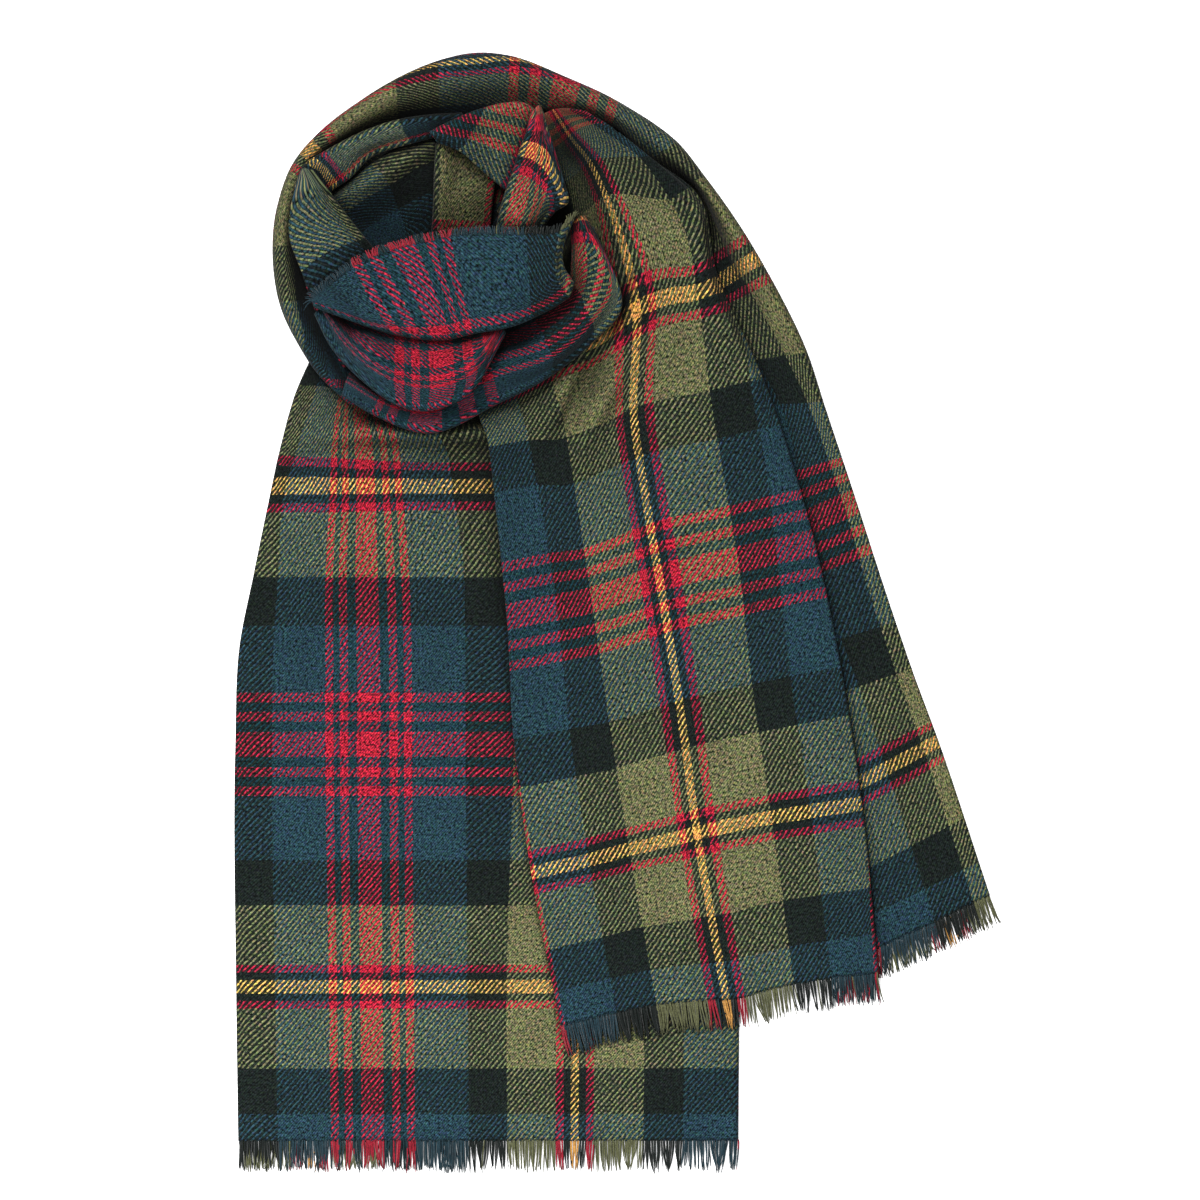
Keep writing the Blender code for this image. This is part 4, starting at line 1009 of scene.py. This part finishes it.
def loose_ends(name, node, grid, length, rest, seed):
    """Loose warp ends along a hem, the grid's first row. Each is a three-sided tapered
    tube whose middle runs out from the hem, is drawn to its tuft as the square of its
    length, and sinks to the rest height along a quarter cosine."""
    fringe, (hem, before) = bpy.context.scene.scarf_fringe, grid[:2]
    rng = np.random.default_rng(seed)
    along = np.concatenate([[0], np.cumsum(steps(hem, 0, 3))])
    count = int(along[-1] / (fringe.pitch / MM))
    at = np.linspace(0, along[-1], count) + rng.uniform(-0.35, 0.35, count)
    line, back = (
        np.column_stack([np.interp(at, along, column) for column in row.T])
        for row in (hem, before)
    )
    way = line[:, :2] - back[:, :2]
    way /= np.linalg.norm(way, axis=1)[:, None]
    side = np.column_stack([-way[:, 1], way[:, 0]])
    reach = length * rng.uniform(0.8, 1.0, count) * (1 + 0.05 * np.sin(at / 7.0))
    lean = 0.05 * np.sin(at / 5.3 + seed) + rng.normal(0, 0.03, count)
    tuft = np.cumsum(rng.random(count) < 0.2)
    middle = np.bincount(tuft, at) / np.maximum(np.bincount(tuft), 1)
    drawn = (middle[tuft] - at) * rng.uniform(0.35, 0.8, count)
    sections = 6
    t = np.linspace(0, 1, sections)
    out = reach[:, None] * t - 0.8
    sideways = lean[:, None] * out + drawn[:, None] * t**2
    sideways = sideways + 0.3 * t * np.sin(at[:, None] * 3.1 + 5 * t)
    centre = line[:, None, :2] + way[:, None] * out[..., None] + side[:, None] * sideways[..., None]
    start = line[:, 2:3] + rng.uniform(-0.5, 0.6, (count, 1))
    low = line[:, 2:3] - 1.0 if rest is None else rest(centre[..., 0])
    sink = np.cos(np.clip(t * 1.4, 0, 1) * np.pi / 2)
    level = np.maximum(low + (start - low) * sink, low) + rng.uniform(0, 0.8, (count, 1))
    radius = 0.66 * (1 - 0.5 * t**3) * rng.uniform(0.8, 1.15, (count, 1))
    a = 2 * np.pi * np.arange(3) / 3 + at[:, None, None]
    radius = radius[..., None]
    flat = centre[:, :, None] + side[:, None, None] * (radius * np.cos(a))[..., None]
    points = np.concatenate([flat, (level[..., None] + radius * np.sin(a))[..., None]], axis=-1)
    i = np.arange(count * sections * 3).reshape(count, sections, 3)
    a, b = i[:, :-1], i[:, 1:]
    faces = np.stack([a, np.roll(a, -1, 2), np.roll(b, -1, 2), b], axis=-1).reshape(-1, 4)
    caps = np.concatenate([i[:, 0, ::-1], i[:, -1]])
    strays = rng.random(count) < 0.03
    u = np.where(strays, rng.choice((-11.0, 80.0, 110.0), count), line[:, 3])
    v = line[:, 4:5] - out - at[:, None] * 2
    uv = np.stack(np.broadcast_arrays(u[:, None, None], v[..., None], 0 * points[..., 0])[:2], -1)
    places = (points.reshape(-1, 3) - (*CENTRE, 0)) * MM
    thing = add_mesh(name, places, faces, uv.reshape(-1, 2) * MM, yarn_ends(), caps)
    dress(thing, node)


class SCARF_OT_fringes(bpy.types.Operator):
    """Adds the loose ends at the two hems and the frayed edge of the knot"""

    bl_idname = "scarf.fringes"
    bl_label = "Fringes"

    def execute(self, context):
        fringe = context.scene.scarf_fringe
        tail, knot = fringe.tail_length / MM, fringe.knot_length / MM

        def low(x):
            return 0.6 + 0 * x

        def on_tail(x):
            """Height of the left tail up to its selvedge, and of the floor beyond."""
            return np.where(x < 92, 3.0, 0.8)

        for name, node, cloth, length, rest, seed in (
            ("left_fringe", "fringe_left", "left_tail_cloth", tail, low, 11),
            ("right_front_fringe", "fringe_right_front", "right_tail_cloth", tail, on_tail, 12),
            ("right_back_fringe", "fringe_right_back", "outer_loop_cloth", tail, low, 13),
            ("knot_fringe", "fringe_knot", "knot_flap_cloth", knot, None, 14),
        ):
            loose_ends(name, node, made[cloth], length, rest, seed)
        return {"FINISHED"}


class SCARF_OT_stage(bpy.types.Operator):
    """Sets up the pale floor, the soft lights and the camera straight above"""

    bl_idname = "scarf.stage"
    bl_label = "Stage"

    def execute(self, context):
        scene, stage = context.scene, context.scene.scarf_stage
        board = bpy.data.materials.new("white studio board")
        add = partial(add_node, empty_tree(board))
        grain = add("TexNoise", add("TexCoord").outputs["Object"], Scale=40.0)
        tone = add("ValToRGB", grain)
        for element, shade in zip(tone.color_ramp.elements, ("#f7f7f7", "#fbfbfb")):
            element.color = linear(shade)
        shader = add(
            "BsdfPrincipled", tone, Roughness=0.9, Specular_IOR_Level=0.1,
            Emission_Strength=0.45, Emission_Color=(1, 1, 1, 1),
        )
        add("OutputMaterial", shader)
        side = 6.0
        corners = side * np.array([[-1, -1, 0], [1, -1, 0], [1, 1, 0], [-1, 1, 0]])
        floor = add_mesh(
            "floor", corners - (0, 0, 0.0002), np.array([[0, 1, 2, 3]]), corners[:, :2], board
        )
        floor.visible_diffuse = False

        def soft_light(name, kind, place, power):
            light = bpy.data.lights.new(name, kind)
            light.energy = power
            thing = add_object(name, light, place)
            thing.rotation_euler = (-Vector(place)).to_track_quat("-Z", "Y").to_euler()
            return light

        key = soft_light("key_light", "SUN", (-0.6, 1.3, 1.8), stage.key_power)
        key.angle = np.radians(24)
        fill = soft_light("fill_light", "AREA", (-0.5, -0.6, 0.75), stage.fill_power)
        fill.shape, fill.size, fill.size_y = "RECTANGLE", 0.7, 0.7
        # The room is bright overhead and falls off towards the walls, as under a wide
        # soft ceiling light: strength times the height of the direction, to a power.
        world = bpy.data.worlds.new("room")
        add = partial(add_node, empty_tree(world))
        way = add("SeparateXYZ", add("TexCoord").outputs["Generated"])
        above = add("Math POWER", add("Math MAXIMUM", way.outputs["Z"], 0.0), 1.6)
        strength = add("Math MULTIPLY", above, stage.sky)
        add("OutputWorld", add("Background", (1, 1, 1, 1), strength))
        scene.world = world
        scene.view_settings.view_transform = "Standard"

        camera = bpy.data.cameras.new("camera")
        camera.sensor_width = 36.0
        camera.lens = camera.sensor_width * stage.camera_height / stage.view_width
        camera.clip_end = 50
        scene.camera = add_object("camera", camera, (-0.0094, 0.00975, stage.camera_height))
        return {"FINISHED"}


class SCARF_PT_panel(bpy.types.Panel):
    """The scarf's steps and settings"""

    bl_label = "Tartan scarf"
    bl_idname = "SCARF_PT_panel"
    bl_space_type = "VIEW_3D"
    bl_region_type = "UI"
    bl_category = "Scarf"

    def draw(self, context):
        for operator in OPERATORS:
            self.layout.operator(operator.bl_idname)
        for name, kind in SETTINGS.items():
            for key in kind.__annotations__:
                self.layout.prop(getattr(context.scene, name), key)


OPERATORS = (
    SCARF_OT_padding, SCARF_OT_tails, SCARF_OT_collar, SCARF_OT_knot, SCARF_OT_fringes,
    SCARF_OT_stage,
)
SETTINGS = {
    "scarf_pattern": ScarfPattern, "scarf_cloth": ScarfCloth, "scarf_fringe": ScarfFringe,
    "scarf_stage": ScarfStage,
}


def register():
    for kind in (*SETTINGS.values(), *OPERATORS, SCARF_PT_panel):
        bpy.utils.register_class(kind)
    for name, kind in SETTINGS.items():
        setattr(bpy.types.Scene, name, PointerProperty(type=kind))


def unregister():
    for name in SETTINGS:
        delattr(bpy.types.Scene, name)
    for kind in (*SETTINGS.values(), *OPERATORS, SCARF_PT_panel):
        bpy.utils.unregister_class(kind)


def main():
    register()
    bpy.ops.scarf.stage()
    bpy.ops.scarf.padding()
    bpy.ops.scarf.tails()
    bpy.ops.scarf.collar()
    bpy.ops.scarf.knot()
    bpy.ops.scarf.fringes()


if __name__ == "__main__":
    main()
